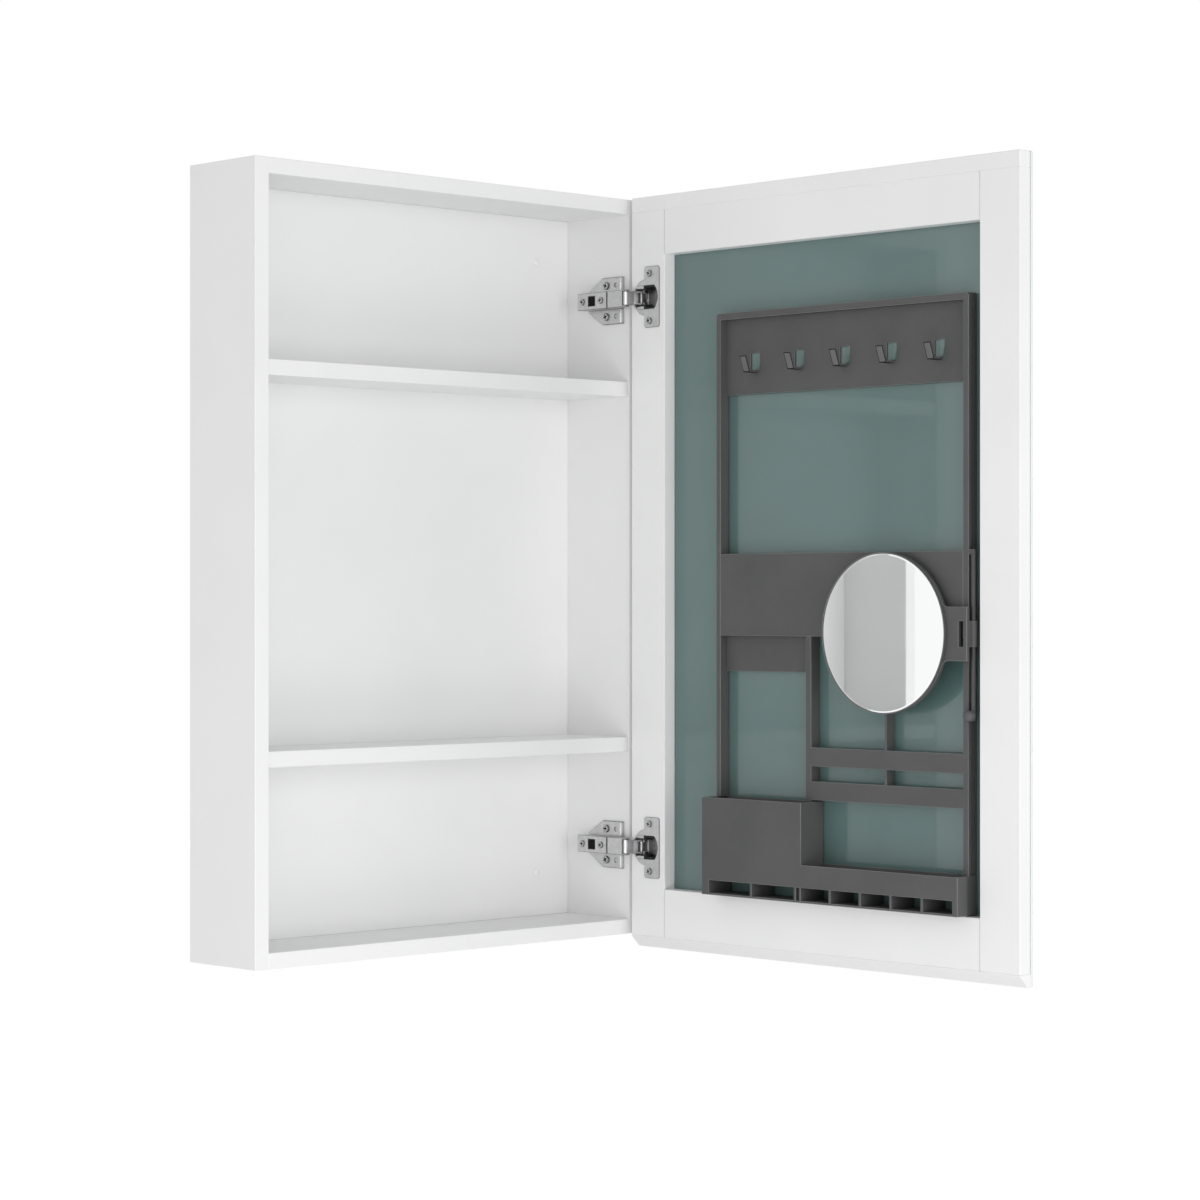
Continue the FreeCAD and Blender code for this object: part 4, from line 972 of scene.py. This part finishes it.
def white_world():
    world = bpy.data.worlds.new("white_studio")
    world.use_nodes = True
    tree = world.node_tree
    level = span(tree, seen_directly(tree), 0.0, 1.0, ambient_level, 1.0)
    tree.nodes["Background"].inputs["Color"].default_value = (1, 1, 1, 1)
    tree.links.new(level, tree.nodes["Background"].inputs["Strength"])
    bpy.context.scene.world = world


def pale_floor():
    corners = np.array([(-1, -1), (1, -1), (1, 1), (-1, 1)]) * floor_reach
    height = np.full((4, 1), cad_low.z - floor_drop)
    mesh = bpy.data.meshes.new("pale_floor")
    mesh.from_pydata(np.hstack([corners, height]).tolist(), [], [(0, 1, 2, 3)])
    material, tree, shader = new_finish("pale_floor")
    shader.inputs["Roughness"].default_value = 0.9
    drift = between(tree, grain(tree, 0.4), 0.0, 1.0)
    colour = blend_colours(tree, drift, (0.80, 0.80, 0.80), (0.82, 0.82, 0.82))
    tree.links.new(colour, shader.inputs["Base Color"])
    glow = tree.nodes.new("ShaderNodeEmission")
    glow.inputs["Strength"].default_value = floor_glow
    mix = tree.nodes.new("ShaderNodeMixShader")
    tree.links.new(span(tree, seen_directly(tree), 0.0, 1.0, 0.0, glow_share), mix.inputs["Fac"])
    tree.links.new(shader.outputs["BSDF"], mix.inputs[1])
    tree.links.new(glow.outputs["Emission"], mix.inputs[2])
    tree.links.new(mix.outputs["Shader"], tree.nodes["Material Output"].inputs["Surface"])
    floor = bpy.data.objects.new("pale_floor", mesh)
    floor.data.materials.append(material)
    bpy.context.scene.collection.objects.link(floor)
    return floor


white_world()
print("floor at", pale_floor().data.vertices[0].co.z)

# %% [markdown]
# Soft light comes from large square lamps. The main one stands in front of the cabinet and skims the door's back from
# its free edge, which draws soft shadows beside the organizer's walls. One fills in from the right, two weaker ones
# light the outer side and the door from the left, and a bounce card near the floor lifts the faces that look down,
# such as the bevel of the finger pull. A photographer keeps the lamps themselves out of a mirror, and Light Linking
# does that here: the silver of the two mirrors isn't among what they light, so it shows only the white room and the
# object.

# %% Lamps
kept_out = bpy.data.collections.new("out_of_the_lamps")
for mirror in (silvered_face, shaving_glass):
    kept_out.objects.link(mirror)
for member in kept_out.collection_objects:
    member.light_linking.link_state = "EXCLUDE"


lamp_target = Vector((0, -0.25, 0))


def soft_lamp(name, place, size, power):
    """A square lamp of that size in metres and power in watts, aimed at the middle of the object."""
    data = bpy.data.lights.new(name, "AREA")
    data.size = size
    data.energy = power
    lamp = bpy.data.objects.new(name, data)
    lamp.location = place
    lamp.rotation_euler = (lamp_target - Vector(place)).to_track_quat("-Z", "Y").to_euler()
    bpy.context.scene.collection.objects.link(lamp)
    lamp.light_linking.receiver_collection = kept_out


soft_lamp("front_lamp", (-0.6, -2.6, 0.0), 1.6, 16.5)
soft_lamp("right_lamp", (0.5, -2.8, 0.0), 1.6, 8)
soft_lamp("low_left_lamp", (-2.4, -0.9, -0.6), 1.2, 4.8)
soft_lamp("far_left_lamp", (-2.8, 0.3, 0.0), 1.6, 9)
soft_lamp("bounce_card", (-0.9, -1.3, -0.85), 0.8, 4)
print("lamps:", [item.name for item in bpy.data.lights])

# %% [markdown]
# Blender can bend colours the way film does. The Standard view leaves them as they were written, so the white paint
# stays white and the tray keeps its grey.

# %% Colour view
bpy.context.scene.view_settings.view_transform = "Standard"
print("view:", bpy.context.scene.view_settings.view_transform)
